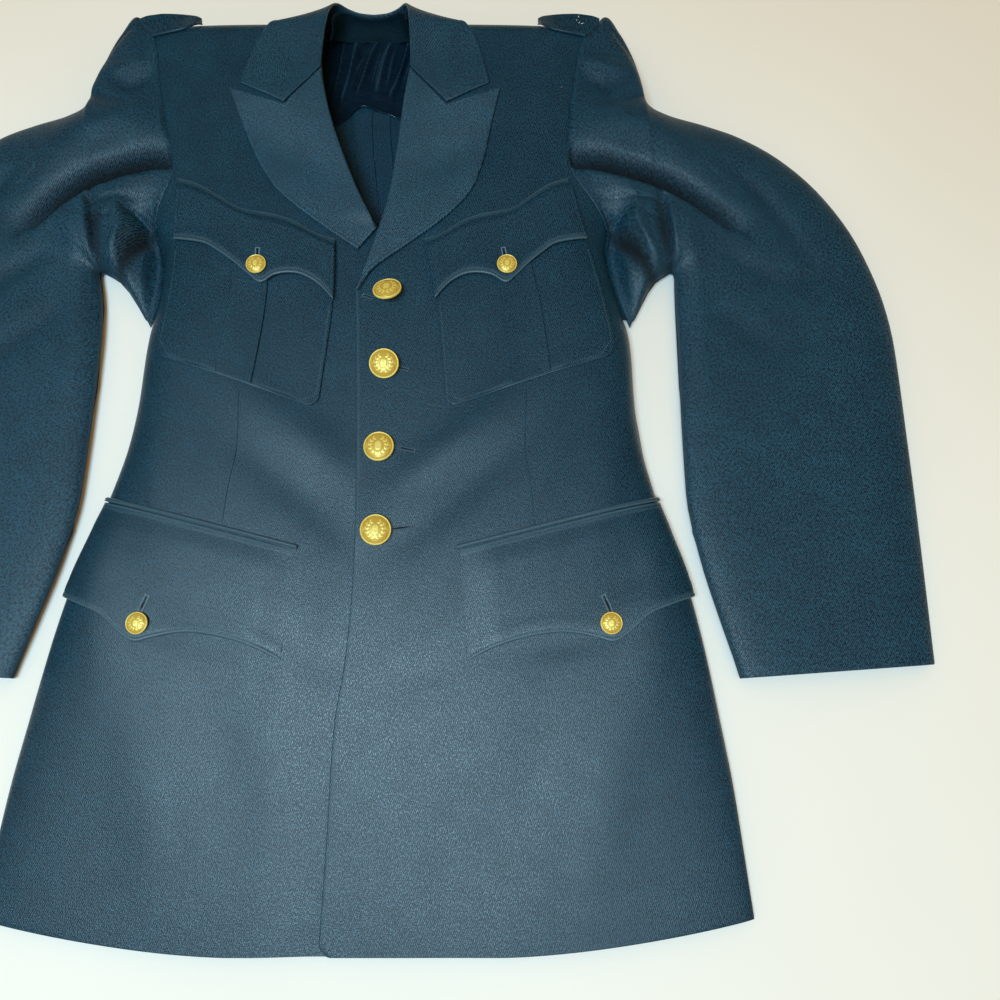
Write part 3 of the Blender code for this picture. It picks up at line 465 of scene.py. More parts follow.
def wool(name, source="cloth", turn=TWILL_TURN, tone=1.0, gloss=0.50, matt=0.0, depth=0.12,
         grain=1.0):
    """Navy whipcord: steep ribs broken into short floats, with fuzz and soft mottling.

    The mesh's `rim` values lighten edges (painted highlight, some wear); below zero, painted shade in
    creases.
    """
    n = Nodes(name)
    place = n.place(source)
    x, y = n.axes(place)
    c, s = math.cos(math.radians(turn)), math.sin(math.radians(turn))
    across = n.math("SUBTRACT", n.math("MULTIPLY", x, s), n.math("MULTIPLY", y, c))
    onward = n.total((x, c), (y, s))
    wobble = n.math("MULTIPLY", n.math("SUBTRACT", n.noise(place, 420.0), 0.5), TWILL_PITCH * 0.9)
    phase = n.math("MULTIPLY", n.math("ADD", across, wobble), 2 * math.pi / TWILL_PITCH)
    rib = n.spread(n.math("SINE", phase), -1, 1)
    float_place = n.joined(across, n.math("MULTIPLY", onward, 0.8))
    floats = n.noise(float_place, FLOAT_SCALE / grain, 2.0, 0.65)
    fuzz = n.noise(place, FUZZ_SCALE / grain, 2.0, 0.65)
    mottle = n.noise(place, 60.0, 3.0, 0.55)
    cloud = n.noise(place, 16.0, 2.0)
    weave = n.total((rib, 0.28), (n.spread(floats, 0.32, 0.68), 0.34), (n.spread(fuzz, 0.32, 0.68), 0.38))
    weave = n.spread(weave, 0.30, 0.70)
    dark, light = [[c * tone for c in colour[:3]] + [1] for colour in (WOOL_DARK, WOOL_LIGHT)]
    blotches = n.math("MULTIPLY", n.spread(mottle, 0.3, 0.7, 0.88, 1.12),
                      n.spread(cloud, 0.3, 0.7, 0.92, 1.08))
    rim = n.point_value("rim")
    # Painted shade inside creases where `rim` is below zero, which also roughens them out of the sheen;
    # painted highlight with some wear where it is above zero.
    crease_shade = n.spread(rim, -1.0, 0.0, 1.0, 0.0)
    colour = n.mix(rim, n.scaled(n.mix(weave, dark, light), blotches), WOOL_EDGE_HIGHLIGHT)
    n.bump(weave, 0.8, depth * MM)
    roughness = n.math("SUBTRACT", n.spread(weave, 0, 1, 0.50 + matt, 0.36 + matt),
                       n.spread(mottle, 0.3, 0.7, 0, 0.03))
    return n.finish(Base_Color=n.mix(crease_shade, colour, WOOL_CREASE_SHADE), Specular_IOR_Level=gloss,
                    Roughness=n.math("ADD", roughness, crease_shade, clamp=True),
                    Specular_Tint=(1.0, 0.88, 0.80, 1))


def satin():
    """Near-black twilled satin with fine lines along the warp, and a painted highlight on its crests."""
    n = Nodes("satin_lining")
    place = n.place("cloth")
    lines = n.noise(n.stretched(place, 1.0, 0.03, 90), 1600.0, 2.0, 0.6)
    soft = n.noise(place, 120.0, 3.0)
    n.bump(n.math("ADD", n.math("MULTIPLY", lines, 0.5), soft), 0.35, 0.0004)
    colour = n.mix(n.spread(lines, 0.3, 0.7), (0.0010, 0.0060, 0.0140, 1), (0.0035, 0.0200, 0.0400, 1))
    # Painted highlight on the crests of the folds.
    colour = n.mix(n.point_value("rim"), colour, (0.035, 0.090, 0.130, 1))
    return n.finish(Base_Color=colour, Roughness=n.spread(soft, 0.3, 0.7, 0.20, 0.28),
                    Specular_IOR_Level=1.0, Specular_Tint=(1.0, 0.84, 0.72, 1))


def brass():
    """Gilt brass, darker in the hollows of its relief."""
    n = Nodes("gilt_brass_worn")
    place = n.place("plan")
    raised = n.spread(n.point_value("relief"), 0.0, 1.0)
    wear = n.noise(place, 900.0, 3.0)
    gilt = n.mix(n.spread(wear, 0.35, 0.65), (1.0, 0.78, 0.15, 1), (1.0, 0.88, 0.25, 1))
    n.bump(wear, 0.15, 0.0001)
    return n.finish(Base_Color=n.mix(raised, (0.52, 0.26, 0.02, 1), gilt), Metallic=0.25,
                    Roughness=n.spread(wear, 0.3, 0.7, 0.30, 0.42))


def thread(name, low, high):
    """Twisted sewing thread: two close tones in fine turns."""
    n = Nodes(name)
    place = n.place("plan")
    twist = n.noise(place, 2600.0, 2.0, 0.6)
    n.bump(twist, 0.4, 0.0001)
    return n.finish(Base_Color=n.mix(n.spread(twist, 0.35, 0.65), low, high), Roughness=0.6,
                    Specular_IOR_Level=0.4)


def paper_floor():
    """Pale floor with a trace of cloud and grain."""
    n = Nodes("pale_floor")
    place = n.place("plan")
    cloud = n.noise(place, 3.0, 2.0)
    grain = n.noise(place, 160.0, 2.0)
    n.bump(grain, 0.05, 0.0005)
    colour = n.mix(n.spread(cloud, 0.3, 0.7), (0.83, 0.83, 0.79, 1), (0.87, 0.87, 0.83, 1))
    return n.finish(Base_Color=colour, Roughness=0.75, Specular_IOR_Level=0.2)


WOOL = wool("wool_front", gloss=0.74)
# Copies of the front's wool by piece: the lapel, collar and sleeve are painted lighter (tone above 1) as
# painted light, the collar stand darker (tone 0.35) as painted shade.
WOOL_LAPEL_LIT = wool("wool_lapel_lit", turn=60.0, tone=1.5, matt=0.08, gloss=1.0, depth=0.25)
WOOL_COLLAR_LIT = wool("wool_collar_lit", turn=75.0, tone=1.3, gloss=0.8, matt=0.06, depth=0.25)
WOOL_STAND_SHADED = wool("wool_stand_shaded", turn=30.0, tone=0.35, gloss=0.1, matt=0.3)
WOOL_SLEEVE = wool("wool_sleeve", turn=58.0, tone=1.1, gloss=0.5, matt=0.08, depth=0.15, grain=1.25)
# Darker copy (tone 0.6) for the strip in the valley under the arm: painted shade.
WOOL_VALLEY_SHADED = wool("wool_valley_shaded", tone=0.6, gloss=0.1, matt=0.3)
WOOL_PLAN = wool("wool_back", source="plan")
SATIN = satin()
BRASS = brass()
TICKS = thread("thread_navy", (0.045, 0.095, 0.130, 1), (0.120, 0.200, 0.250, 1))
TWIST = thread("thread_grey", (0.10, 0.19, 0.25, 1), (0.24, 0.36, 0.43, 1))
# Near-black sheets in the buttonholes' slits and eyes: painted shade of the openings.
SLIT_SHADE = thread("slit_painted_shade", (0.001, 0.001, 0.003, 1), (0.004, 0.004, 0.010, 1))
WHITE = thread("thread_white", (0.55, 0.58, 0.62, 1), (0.85, 0.86, 0.88, 1))


def dress(thing, nodes=()):
    """Hide the solids that a piece stands for."""
    if nodes:
        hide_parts(*nodes)


def cloth(name, top, normal, thickness, material, places, nodes=(), cut=None, area=None, rests_on=(),
          slot="wool_twill", **form):
    """A finished piece of cloth: its shell and what it stands for."""
    thing = shell(name, top, normal, thickness, material, places, **form)
    dress(thing, nodes)


# ---- fronts ----------------------------------------------------------------
FRONT_STEP = 3.0
TUCK = 1.4                  # how far the front reaches in under the sleeve head
# Strength of the painted highlight, with some wear, along the front's free edge.
FRONT_EDGE_HIGHLIGHT = 0.3
# Share of the turn over the shoulder at each row of a front above the roll.
ROLL_ROWS = np.concatenate([np.linspace(0, 0.94, 16)[1:], [0.965, 0.985, 0.995, 1.0]])


def front_edge(v):
    """Arc length of the front's free edge, rounded at its foot."""
    corner = CORNER - np.sqrt(np.maximum(CORNER ** 2 - np.maximum(CORNER - v, 0) ** 2, 0))
    return along(FRONT_EDGE, v) + corner


def outer_arc(v):
    """Where the body ends sideways: its side seam, or the armhole above it."""
    v = np.asarray(v, float)
    return np.where(v <= ARMHOLE_FOOT, side_arc(v), arc_at(along(ARMHOLE, v) - SEAM, v))


def front_rows():
    """Rows up the front, closer together where it rolls over the shoulder."""
    straight = spaced(SHOULDER_ROLL, FRONT_STEP, end_rim=False) * SHOULDER_ROLL
    turn = ROLL_ROWS * math.pi / 2
    return np.concatenate([straight, SHOULDER_ROLL + (COAT_TOP - SHOULDER_ROLL) * np.sin(turn)])


def make_front(word, side):
    v = front_rows()[:, None]
    share = spaced(290.0, FRONT_STEP)[None, :]
    outer = outer_arc(v) + TUCK * ease((v - ARMHOLE_FOOT - 3) / 6)
    arc = front_edge(v) + (outer - front_edge(v)) * share
    v = np.broadcast_to(v, arc.shape)
    top, normal = on_body(side, arc, v)
    top[..., 2] = np.maximum(top[..., 2], SIDE_SEAM_Z)
    # Painted highlight, with some wear, along the front's free edge.
    front_edge_highlight = FRONT_EDGE_HIGHLIGHT * bell((run_lengths(top, 1) - 0.9) / 0.9)
    cloth("front_%s_cloth" % word, top, normal, CLOTH, WOOL, pair(side * arc, v), ["front_" + word],
          (300, 790), 0.185, ["back_" + word], lowest=SIDE_SEAM_Z, rim=front_edge_highlight)


# ---- pieces that lie on a front --------------------------------------------
STITCH_IN = 3.4             # distance of the edge stitching from the edge
# Relief of a turned edge: height, place and reach of its swelling, then of the line of stitches.
LAPEL_EDGE = (0.25, 1.7, 1.3, -0.18, STITCH_IN, 0.8)
FLAP_EDGE = (0.28, 1.5, 1.1, -0.22, STITCH_IN, 0.8)
POCKET_EDGE = (0.3, 1.5, 1.0, -0.2, 3.2, 0.7)


def stitched_edge(near, edge):
    """Relief of a turned and stitched edge, by the distance from it."""
    swell, swell_in, swell_reach, dent, dent_in, dent_reach = edge
    return swell * bell((near - swell_in) / swell_reach) + dent * bell((near - dent_in) / dent_reach)


def painted_edge_highlight(top, amount):
    """Painted highlight, with some wear, as a light double line along the upper and lower edge of a turned
    and stitched piece.
    """
    near = rim_distance(top, (0,))
    return amount * (bell((near - 0.9) / 0.9) + 0.55 * bell((near - 4.0) / 0.7))


def lift_at_side(arc, v):
    """More air under a piece where the panel rolls away at the side."""
    return EDGE_LIFT * ease((arc - side_arc(v) + 50) / 25)


def body_piece(name, side, arc, v, thickness, rise, relief, material, nodes, wear=0.0, **cut):
    """Cloth laid on the body: a grid of (arc, v), with its lift and its own relief."""
    lift = rise + lift_at_side(arc, v) + thickness
    top, normal = on_body(side, arc, v, lift)
    top = top + normal * relief(top)[..., None]
    # `wear` sets the painted highlight, with some wear, along the piece's edges.
    rim = painted_edge_highlight(top, wear) if wear else None
    cloth(name, top, normal, thickness, material, pair(side * arc, v), nodes, rim=rim, **cut)


LAPEL = 2.4
ROLL_SPRING, ROLL_WIDTH = 1.4, 12.0
NOTCH_U, NOTCH_DIP = 68.5, 29.5
# Rows of (share of the length, roll line's u and v, edge's u and v), from the foot of a lapel.
LAPEL_TOP = [(0.7, 27.5, 627, 93, 596), (0.85, 33.5, 660, 105, 634), (1.0, 38.0, 686.5, 115, 667)]
LAPELS = {
    LEFT: [(0.0, -22.0, 477, -20.0, 477.5), (0.12, -14.0, 498, -7, 496), (0.25, -2.0, 527, 18, 515),
           (0.4, 10.0, 558, 53, 541), (0.55, 19.5, 592, 78, 566)] + LAPEL_TOP,
    RIGHT: [(0.0, 2.0, 533, 19, 514.5), (0.2, 6.5, 547, 41, 531), (0.4, 12.5, 565, 64, 551.5),
            (0.55, 19.5, 592, 80, 569)] + LAPEL_TOP,
}


def notched(notch, length, step):
    """Shares across a lapel or collar leaf, one of them exactly at its notch."""
    low = spaced(length * notch, step, end_rim=False) * notch
    high = notch + spaced(length * (1 - notch), step, start_rim=False)[1:] * (1 - notch)
    return np.concatenate([low, high])


def notch_dip(f, notch):
    """How far the notch between lapel and collar dips at a share f across either of them."""
    return np.minimum(f / notch, (1 - f) / (1 - notch)) * NOTCH_DIP


def make_lapel(word, side):
    """A lapel, folded back along its roll line, with the notch at its top."""
    table = LAPELS[side]
    notch = (NOTCH_U - table[-1][1]) / (table[-1][3] - table[-1][1])
    share = spaced(190.0, 2.2)
    f = notched(notch, 80.0, 1.7)[None, :]
    roll_u, roll_v, edge_u, edge_v = np.moveaxis(along(table, share), -1, 0)[..., None]
    u = roll_u + (edge_u - roll_u) * f
    v = roll_v + (edge_v - roll_v) * f - notch_dip(f, notch) * share[:, None] ** 4
    arc = arc_at(u, v)
    spring = LIFT + ROLL_SPRING * bell((arc - arc[:, :1]) / ROLL_WIDTH)

    def edge_work(top):
        run = run_lengths(top, 1)
        return stitched_edge(np.minimum(run[:, -1:] - run, run_lengths(top[::-1], 0)[::-1]), LAPEL_EDGE)

    body_piece("lapel_%s_cloth" % word, side, arc, v, LAPEL, spring, edge_work, WOOL_LAPEL_LIT,
               ["lapel_" + word], cut=(100, 230), area=0.0125, rests_on=["front_" + word])


# ---- collar ----------------------------------------------------------------
COLLAR = 2.2
# Rows of (share of the length, fold's u, v and z, edge's u, v and z, how far it wraps round).
COLLAR_ROUTE = [
    (0.00, 38.0, 688.8, 39.0, 106.0, 670.8, 38.5, 0.0),
    (0.16, 37.6, 706.0, 40.0, 100.5, 697.0, 39.5, 0.0),
    (0.30, 36.8, 722.0, 42.0, 94.5, 717.0, 41.0, 0.0),
    (0.43, 35.5, 738.0, 42.5, 87.0, 732.0, 41.0, 0.0),
    (0.54, 33.8, 753.0, 39.5, 80.5, 742.0, 34.5, 0.15),
    (0.64, 31.0, 764.5, 33.0, 76.5, 753.0, 17.0, 0.45),
    (0.74, 25.0, 768.6, 25.5, 67.0, 758.0, 0.0, 0.9),
    (0.86, 14.0, 768.6, 19.5, 41.0, 755.5, 0.0, 1.0),
    (1.00, SEAM / 2, 768.4, 17.5, SEAM / 2, 754.0, 0.0, 1.0),
]
ON_FRONT_END = 0.30         # share of the length that rests on the front


def make_collar(word, side):
    """Half a collar, from its leaf on the front to the seam at the middle of the neck."""
    first = COLLAR_ROUTE[0]
    notch = (NOTCH_U - first[1]) / (first[4] - first[1])
    share = spaced(150.0, 1.8)[:, None]
    f = notched(notch, 72.0, 1.6)[None, :]
    fold_u, fold_v, fold_z, edge_u, edge_v, edge_z, wrap = np.moveaxis(along(COLLAR_ROUTE, share), -1, 0)
    turn = f * math.pi / 2
    go = f * (1 - wrap) + (1 - np.cos(turn)) * wrap
    fall = f * (1 - wrap) + np.sin(turn) * wrap
    u = fold_u + (edge_u - fold_u) * go
    v = fold_v + (edge_v - fold_v) * go
    v = v - notch_dip(f, notch) * np.maximum(0.0, 1 - share / 0.25) ** 2
    z = fold_z + (edge_z - fold_z) * fall
    low_v = np.minimum(v, COAT_TOP - 12)
    base, normal = on_body(side, arc_at(u, low_v), low_v)
    rise = LIFT + ROLL_SPRING * bell((u - fold_u) / ROLL_WIDTH) + COLLAR
    resting = 1 - ease((share - ON_FRONT_END) / 0.13)
    z = z + (base[..., 2] + rise / normal[..., 2] - z) * resting
    top = xyz(lean(v) + side * u, v, z)
    normal = grid_normals(top, side)
    run = run_lengths(top, 1)
    near = np.minimum(run[:, -1:] - run, run_lengths(top, 0))
    top = top + normal * stitched_edge(near, LAPEL_EDGE)[..., None]
    top[..., 2] = np.maximum(top[..., 2], 0.0)
    top[-1, :, 0] = LEAN - side * 0.6
    places = pair(side * run, run_lengths(top, 0))
    cloth("collar_%s_cloth" % word, top, normal, COLLAR, WOOL_COLLAR_LIT, places, ["collar_" + word],
          (75, 190), 0.0105, ["front_" + word], lowest=0.0)


# Rows of (share from the middle, top's u, v and z, foot's u, v and z).
STAND_ROUTE = [(0.0, 0.0, 763.5, 16.1, 0.0, 750.3, 4.6), (0.3, 11.0, 763.3, 17.8, 12.5, 750.1, 4.8),
               (0.55, 20.0, 762.8, 21.5, 22.5, 749.5, 5.7), (0.75, 26.5, 760.0, 26.5, 29.5, 747.0, 8.5),
               (0.9, 30.5, 752.0, 32.5, 34.5, 742.0, 14.5), (1.0, 32.0, 742.0, 35.5, 37.0, 734.0, 21.0)]


def make_collar_stand():
    """The band that stands up behind the neck, under the fold of the collar."""
    share = spaced(130.0, 1.5)[:, None] * 2 - 1
    f = spaced(20.0, 1.0)[None, :]
    top_u, top_v, top_z, foot_u, foot_v, foot_z = np.moveaxis(along(STAND_ROUTE, np.abs(share)), -1, 0)
    go, rise = np.sin(f * math.pi / 2), 1 - np.cos(f * math.pi / 2)
    u = np.sign(share) * (foot_u + (top_u - foot_u) * go)
    v = foot_v + (top_v - foot_v) * go
    z = foot_z + (top_z - foot_z) * rise
    top = xyz(LEAN + u, v, z)
    normal = -grid_normals(top)
    places = pair(share * 60, f * 20)
    cloth("collar_stand_cloth", top, normal, CLOTH, WOOL_STAND_SHADED, places, ["collar_stand"],
          (135, 26), 0.0025, ["collar_left", "collar_right"])


# ---- inside the neck -------------------------------------------------------
LINING, LINING_HALF, LINING_TOP = 1.0, 118.0, 750.0     # thickness, half width, top edge
LINING_HEM = [(-118, 618), (-60, 648), (-26, 664), (-8, 680), (4, 675), (27, 666), (70, 645), (118, 618)]
# Rows of (u at the top, u at the foot, half width, height) of a wrinkle.
LINING_FOLDS = [(-14, -32, 4.0, 4.4), (-4, -25, 1.8, 1.8), (4, -20, 3.2, 4.6), (10, -9, 1.6, 1.5),
                (16, -1, 4.2, 3.8), (23, 5, 1.8, 1.9), (32, 14, 3.4, 4.6), (39, 23, 2.0, 2.0),
                (-26, -41, 2.4, 2.2), (-62, -58, 6.0, 1.8), (64, 52, 6.0, 2.4)]
ALLOWANCE = 16.0            # width of each seam allowance at the middle of the back
ALLOWANCE_FOOT, ALLOWANCE_RUN, ALLOWANCE_CLOTH = 530.0, 145.0, 0.8


def make_half_lining():
    """Wrinkled satin inside the back of the neck."""
    share = spaced(80.0, 1.1)[:, None]
    u = (spaced(2 * LINING_HALF, 1.1) - 0.5)[None, :] * 2 * LINING_HALF
    foot = along(LINING_HEM, u)
    ceiling = LINING_TOP + 9 * ease((np.abs(u) - 22) / 8) * ease((62 - np.abs(u)) / 14)
    v = ceiling + (foot - ceiling) * share
    rise = 0.0
    for top_u, foot_u, half, height in LINING_FOLDS:
        middle = top_u + (foot_u - top_u) * share + 1.5 * np.sin(share * 5 + top_u)
        taper = np.sin(math.pi * np.minimum(1, share + 0.15)) ** 0.8
        rise = rise + height * bell((u - middle) / half) * taper
    over_seam = 0.8 * ease((ALLOWANCE + 5 - np.abs(u)) / 4) * ease((share - 0.6) / 0.1)
    hem = 0.5 * ease((share - 0.955) / 0.01)
    z = CLOTH + LIFT + LINING + np.maximum(rise, 0) + over_seam + hem
    top = xyz(lean(v) + u, v, z)
    normal = grid_normals(top, -1)
    # Painted highlight on the fold crests that lean towards the lamp.
    crest_highlight = 0.5 * bell((normal[..., 0] + 0.35) / 0.2) * ease((rise - 0.8) / 1.5)
    cloth("half_lining_cloth", top, normal, LINING, SATIN, pair(u, v), ["half_lining"],
          (236, 130), 0.0235, ["back_left", "back_right"], slot="satin", rim=crest_highlight)


def make_back_seam():
    """The two allowances of the back's middle seam, pressed open inside the neck."""
    for word, side in SIDES.items():
        v = (ALLOWANCE_FOOT + ALLOWANCE_RUN * spaced(ALLOWANCE_RUN, 1.6))[:, None]
        u = (0.25 + (ALLOWANCE - 0.25) * spaced(ALLOWANCE, 0.8))[None, :]
        ruffle = 0.25 * np.sin(v / 9.0 + side) * (u / ALLOWANCE) ** 2
        z = CLOTH + 0.95 + ruffle + 0.5 * bell((u - ALLOWANCE) / 2)
        top = xyz(lean(v) + side * u, v, z)
        normal = np.zeros_like(top) + (0, 0, 1)
        cloth("back_seam_" + word, top, normal, ALLOWANCE_CLOTH, WOOL, pair(side * u, v),
              cut=(ALLOWANCE, ALLOWANCE_RUN), rests_on=["back_" + word])


# ---- sleeves ---------------------------------------------------------------
# Cross lines of the sleeve, from armhole to cuff: rows of (place along it, inner edge's u and v,
# outer edge's u, v and z, height of the middle).
SLEEVE_ROUTE = [
    (0, 198, 461, 190.8, 750, 5, 33), (1, 206, 475, 209, 756, 27, 34), (2, 214, 489, 222.5, 742, 20, 34),
    (3, 222, 500, 232.5, 722, 14, 33), (4, 228, 505, 238.5, 702, 9, 33), (5, 233, 508, 243.5, 675, 6, 32),
    (6, 236, 510, 260, 662, 5, 31), (7, 238, 511, 292, 652, 5, 29), (8, 239.5, 511, 322, 640, 5, 27),
    (9, 240.3, 510, 352, 620, 5, 24), (10, 240.5, 507, 378, 590, 5, 21), (11, 239.5, 500, 397, 550, 5, 19),
    (12, 237.5, 487, 407, 505, 5, 17.5), (13, 236, 465, 411, 465, 5, 17),
    (14, 234.5, 420, 412, 420, 5, 16.5), (15, 233.7, 360, 411.5, 365, 5, 16),
    (16, 234, 313, 411, 318, 5, 15.5), (17, 242, 265, 410, 272, 5, 15),
    (18, 253, 222, 409, 230, 5, 14.5), (19, 265, 180, 408, 190, 5, 14)]
SLEEVE_SIDE = [(461, 197.5), (475, 193.2), (490, 189.4), (503, 187.5), (515, 186.5), (530, 187.4),
               (544, 190.8)]
SLEEVE_TIP = SLEEVE_SIDE[0][0]
SLEEVE_POWER = 5.0
HEAD_PLACES, HEAD_TOP_PLACES = 2.2, 0.8     # places over which the sleeve rises from the armhole
HEAD_RIDGE = 0.7            # low ridge of the sleeve head beside the armhole seam
CREASE_FLOOR = 3.0          # least height of the sleeve inside its edges
STEEP_FROM_Z = 35.0         # height from which the weave runs down the sleeve's steep edges
# Painted shade in the sleeve's creases: depth where it starts, depth over which it deepens, and how much
# darker per millimetre.
SHADE_FROM, SHADE_RANGE, SHADE = 1.5, 11, 0.08      # depth where a crease darkens, and how much
# Creases as (width on the near side, on the far side, depth, points (u, v)...); a ridge has a
# negative depth.  The near side lies to the left of the points' direction.
SLEEVE_CREASES = [
    (13.0, 4.0, 17.0, (156, 598), (182, 599), (197, 595), (218, 588), (240, 580.5), (262, 568), (290, 548)),
    (26.0, 18.0, -6.5, (178, 636), (215, 640), (240, 632), (272, 606)),
    (5.0, 9.0, 12.0, (187, 556), (199, 538), (206, 527.5), (212, 515.5), (221.5, 500)),
    (4.0, 3.0, -3.0, (192, 540), (199, 518), (201, 491), (203, 476)),
    (4.0, 3.5, -2.0, (214, 536), (221, 522), (228, 510)),
    (3.0, 4.0, 3.4, (207, 546.5), (211, 534), (216, 515)),
    (2.6, 8.0, 9.0, (238.5, 568), (237.5, 550), (237.5, 532), (238, 505)),
    (9.0, 9.0, -2.4, (255, 545), (254, 500), (250, 450), (249, 400)),
    (1.6, 2.4, 1.8, (180, 570), (204, 568.4), (224, 566), (239, 564.6)),
    (1.6, 2.6, 1.6, (219, 551), (229, 550.5), (238, 550)),
    (6.0, 8.0, 2.4, (204, 655), (232, 667), (258, 666)),
    (7.0, 9.0, 3.8, (188, 686), (205, 676), (220, 686)),
    (7.0, 6.0, -2.4, (188, 703), (203, 698), (216, 694)),
    (3.0, 3.0, 2.6, (207, 741), (215, 736), (219.5, 730), (230.5, 713), (238, 696), (243, 672)),
    (9.0, 9.0, 2.6, (300, 600), (330, 570), (350, 520)),
    (7.0, 9.0, 2.8, (285, 520), (320, 500), (370, 505)),
    (8.0, 10.0, 2.5, (270, 470), (310, 440), (350, 452)),
]


def crease_depth(u, v):
    """Depth of the creases at places of the sleeve, sharper on their far side."""
    depth = 0.0
    for near_side, far_side, deep, *points in SLEEVE_CREASES:
        best = np.full(np.shape(u), 1e9)
        where = np.zeros(np.shape(u))
        for k, ((au, av), (bu, bv)) in enumerate(zip(points, points[1:])):
            run_u, run_v = bu - au, bv - av
            f = ((u - au) * run_u + (v - av) * run_v) / (run_u ** 2 + run_v ** 2)
            f = np.clip(f, 0.0, 1.0)
            off_u, off_v = u - au - f * run_u, v - av - f * run_v
            left = run_u * off_v - run_v * off_u > 0
            scaled = np.hypot(off_u, off_v) / np.where(left, near_side, far_side)
            closer = scaled < best
            best = np.where(closer, scaled, best)
            where = np.where(closer, (k + f) / (len(points) - 1), where)
        fade = np.sin(math.pi * np.clip(0.08 + 0.84 * where, 0, 1)) ** 0.5
        depth = depth + deep * fade * bell(best)
    return depth


def sleeve_row(f):
    """Row of the body that the sleeve's head meets, f of the way across the sleeve."""
    return SLEEVE_TIP + (COAT_TOP - SLEEVE_TIP) * f


def sleeve_plan(place, f):
    """Plan position (u, v) at a place along the sleeve, f of the way across."""
    inner_u, inner_v, outer_u, outer_v, _, _ = np.moveaxis(along(SLEEVE_ROUTE, place), -1, 0)
    row = sleeve_row(f)
    edge = np.where(row < ARMHOLE_FOOT, along(SLEEVE_SIDE, row), along(ARMHOLE, row) + SEAM)
    fade = 1 - ease(place / 4)
    tip_u, top_u = SLEEVE_ROUTE[0][1], SLEEVE_ROUTE[0][3]
    u = inner_u + (outer_u - inner_u) * f + (edge - tip_u - (top_u - tip_u) * f) * fade
    v = inner_v + (outer_v - inner_v) * f + row_shift(edge, row) * fade
    return u, v


def sleeve_height(side, place, f, u, v):
    """Height of the sleeve's outside: it leaves the armhole seam and carries the creases."""
    *_, outer_z, middle = np.moveaxis(along(SLEEVE_ROUTE, place), -1, 0)
    edge_z = np.where(f < 0.5, SIDE_SEAM_Z, outer_z)
    round_off = np.abs(2 * f - 1)
    own = edge_z + (middle - edge_z) * np.sqrt(np.maximum(0.0, 1 - round_off ** SLEEVE_POWER))
    head = HEAD_PLACES + (HEAD_TOP_PLACES - HEAD_PLACES) * f ** 8
    row = sleeve_row(f)
    ridge = HEAD_RIDGE * bell((place - 0.22) / 0.16) * ease((row - 600) / 40)
    seam = on_body(side, outer_arc(row), row)[0][..., 2] + ridge
    own = np.where(place < head, seam + (own - seam) * ease(place / head), own)
    own = own - crease_depth(u, v) * (1 - round_off ** 6) * ease(place / 0.4)
    floor = SIDE_SEAM_Z + CREASE_FLOOR * ease(place / 0.3) * (1 - round_off ** 8)
    return np.maximum(own, floor)


SLEEVE_COLUMNS = 132


def sleeve_shares():
    """Shares across the sleeve, closer together at both of its long edges."""
    t = np.linspace(0, 1, SLEEVE_COLUMNS)
    from_edge = 1 - np.abs(1 - 2 * t)
    return np.where(t < 0.5, 0.5 * from_edge ** 1.5, 1 - 0.5 * from_edge ** 1.5)


def sleeve_places():
    """Places along the sleeve, closest at its seam and at its cuff."""
    near = np.concatenate([[0.0, 0.008, 0.027, 0.065], np.linspace(0.13, 8, 112)])
    return np.concatenate([near, np.linspace(8, 18.93, 44)[1:], [18.975, 18.99, 19.0]])


def make_sleeve(word, side):
    """Upper half of a sleeve, lying bent, with its creases."""
    place = sleeve_places()[:, None]
    f = sleeve_shares()[None, :]
    u, v = sleeve_plan(place, f)
    round_off = np.abs(2 * f - 1)
    top = xyz(lean(v) + side * u, v, sleeve_height(side, place, f, u, v))
    normal = grid_normals(top, -side)
    normal = np.where(normal[..., 2:] > 0, normal, unit(normal * (1, 1, 0)))
    tilt = np.hypot(normal[..., 0], normal[..., 1])
    steep = ease((tilt - 0.7) / 0.25) * ease((round_off - 0.7) / 0.2)
    places = top[..., :2] + normal[..., :2] * (steep * (STEEP_FROM_Z - top[..., 2]))[..., None]
    # Painted shade: the colour darkens inside the deeper creases.
    dark = -np.clip(crease_depth(u, v) - SHADE_FROM, 0, SHADE_RANGE) * SHADE * ease(place / 0.4)
    cloth("sleeve_%s_cloth" % word, top, normal, CLOTH, WOOL_SLEEVE, places, ["sleeve_%s_upper" % word],
          (300, 560), 0.115, ["sleeve_%s_under" % word], lowest=SIDE_SEAM_Z, rim=dark)


STRIP_CLOTH = 0.8
STRIP_UNDER, STRIP_RISE = 1.2, 7.0      # how far it reaches under both, and rises at its top


def make_side_strip(word, side):
    """Cloth that joins the body's side and the sleeve in the valley below the armhole, darker, as painted
    shade of the valley.
    """
    v = (SLEEVE_TIP + 7 + (ARMHOLE_FOOT - 4 - SLEEVE_TIP) * spaced(80.0, 2.0))[:, None]
    start, end = along(HALF_WIDTH, v) - STRIP_UNDER, along(SLEEVE_SIDE, v) + STRIP_UNDER
    u = start + (end - start) * spaced(5.0, 0.6)[None, :]
    top = xyz(lean(v) + side * u, v, SIDE_SEAM_Z + 0.5 + STRIP_RISE * ease((v - 530) / 16))
    normal = grid_normals(top, side)
    cloth("side_strip_" + word, top, normal, STRIP_CLOTH, WOOL_VALLEY_SHADED, pair(u, v))


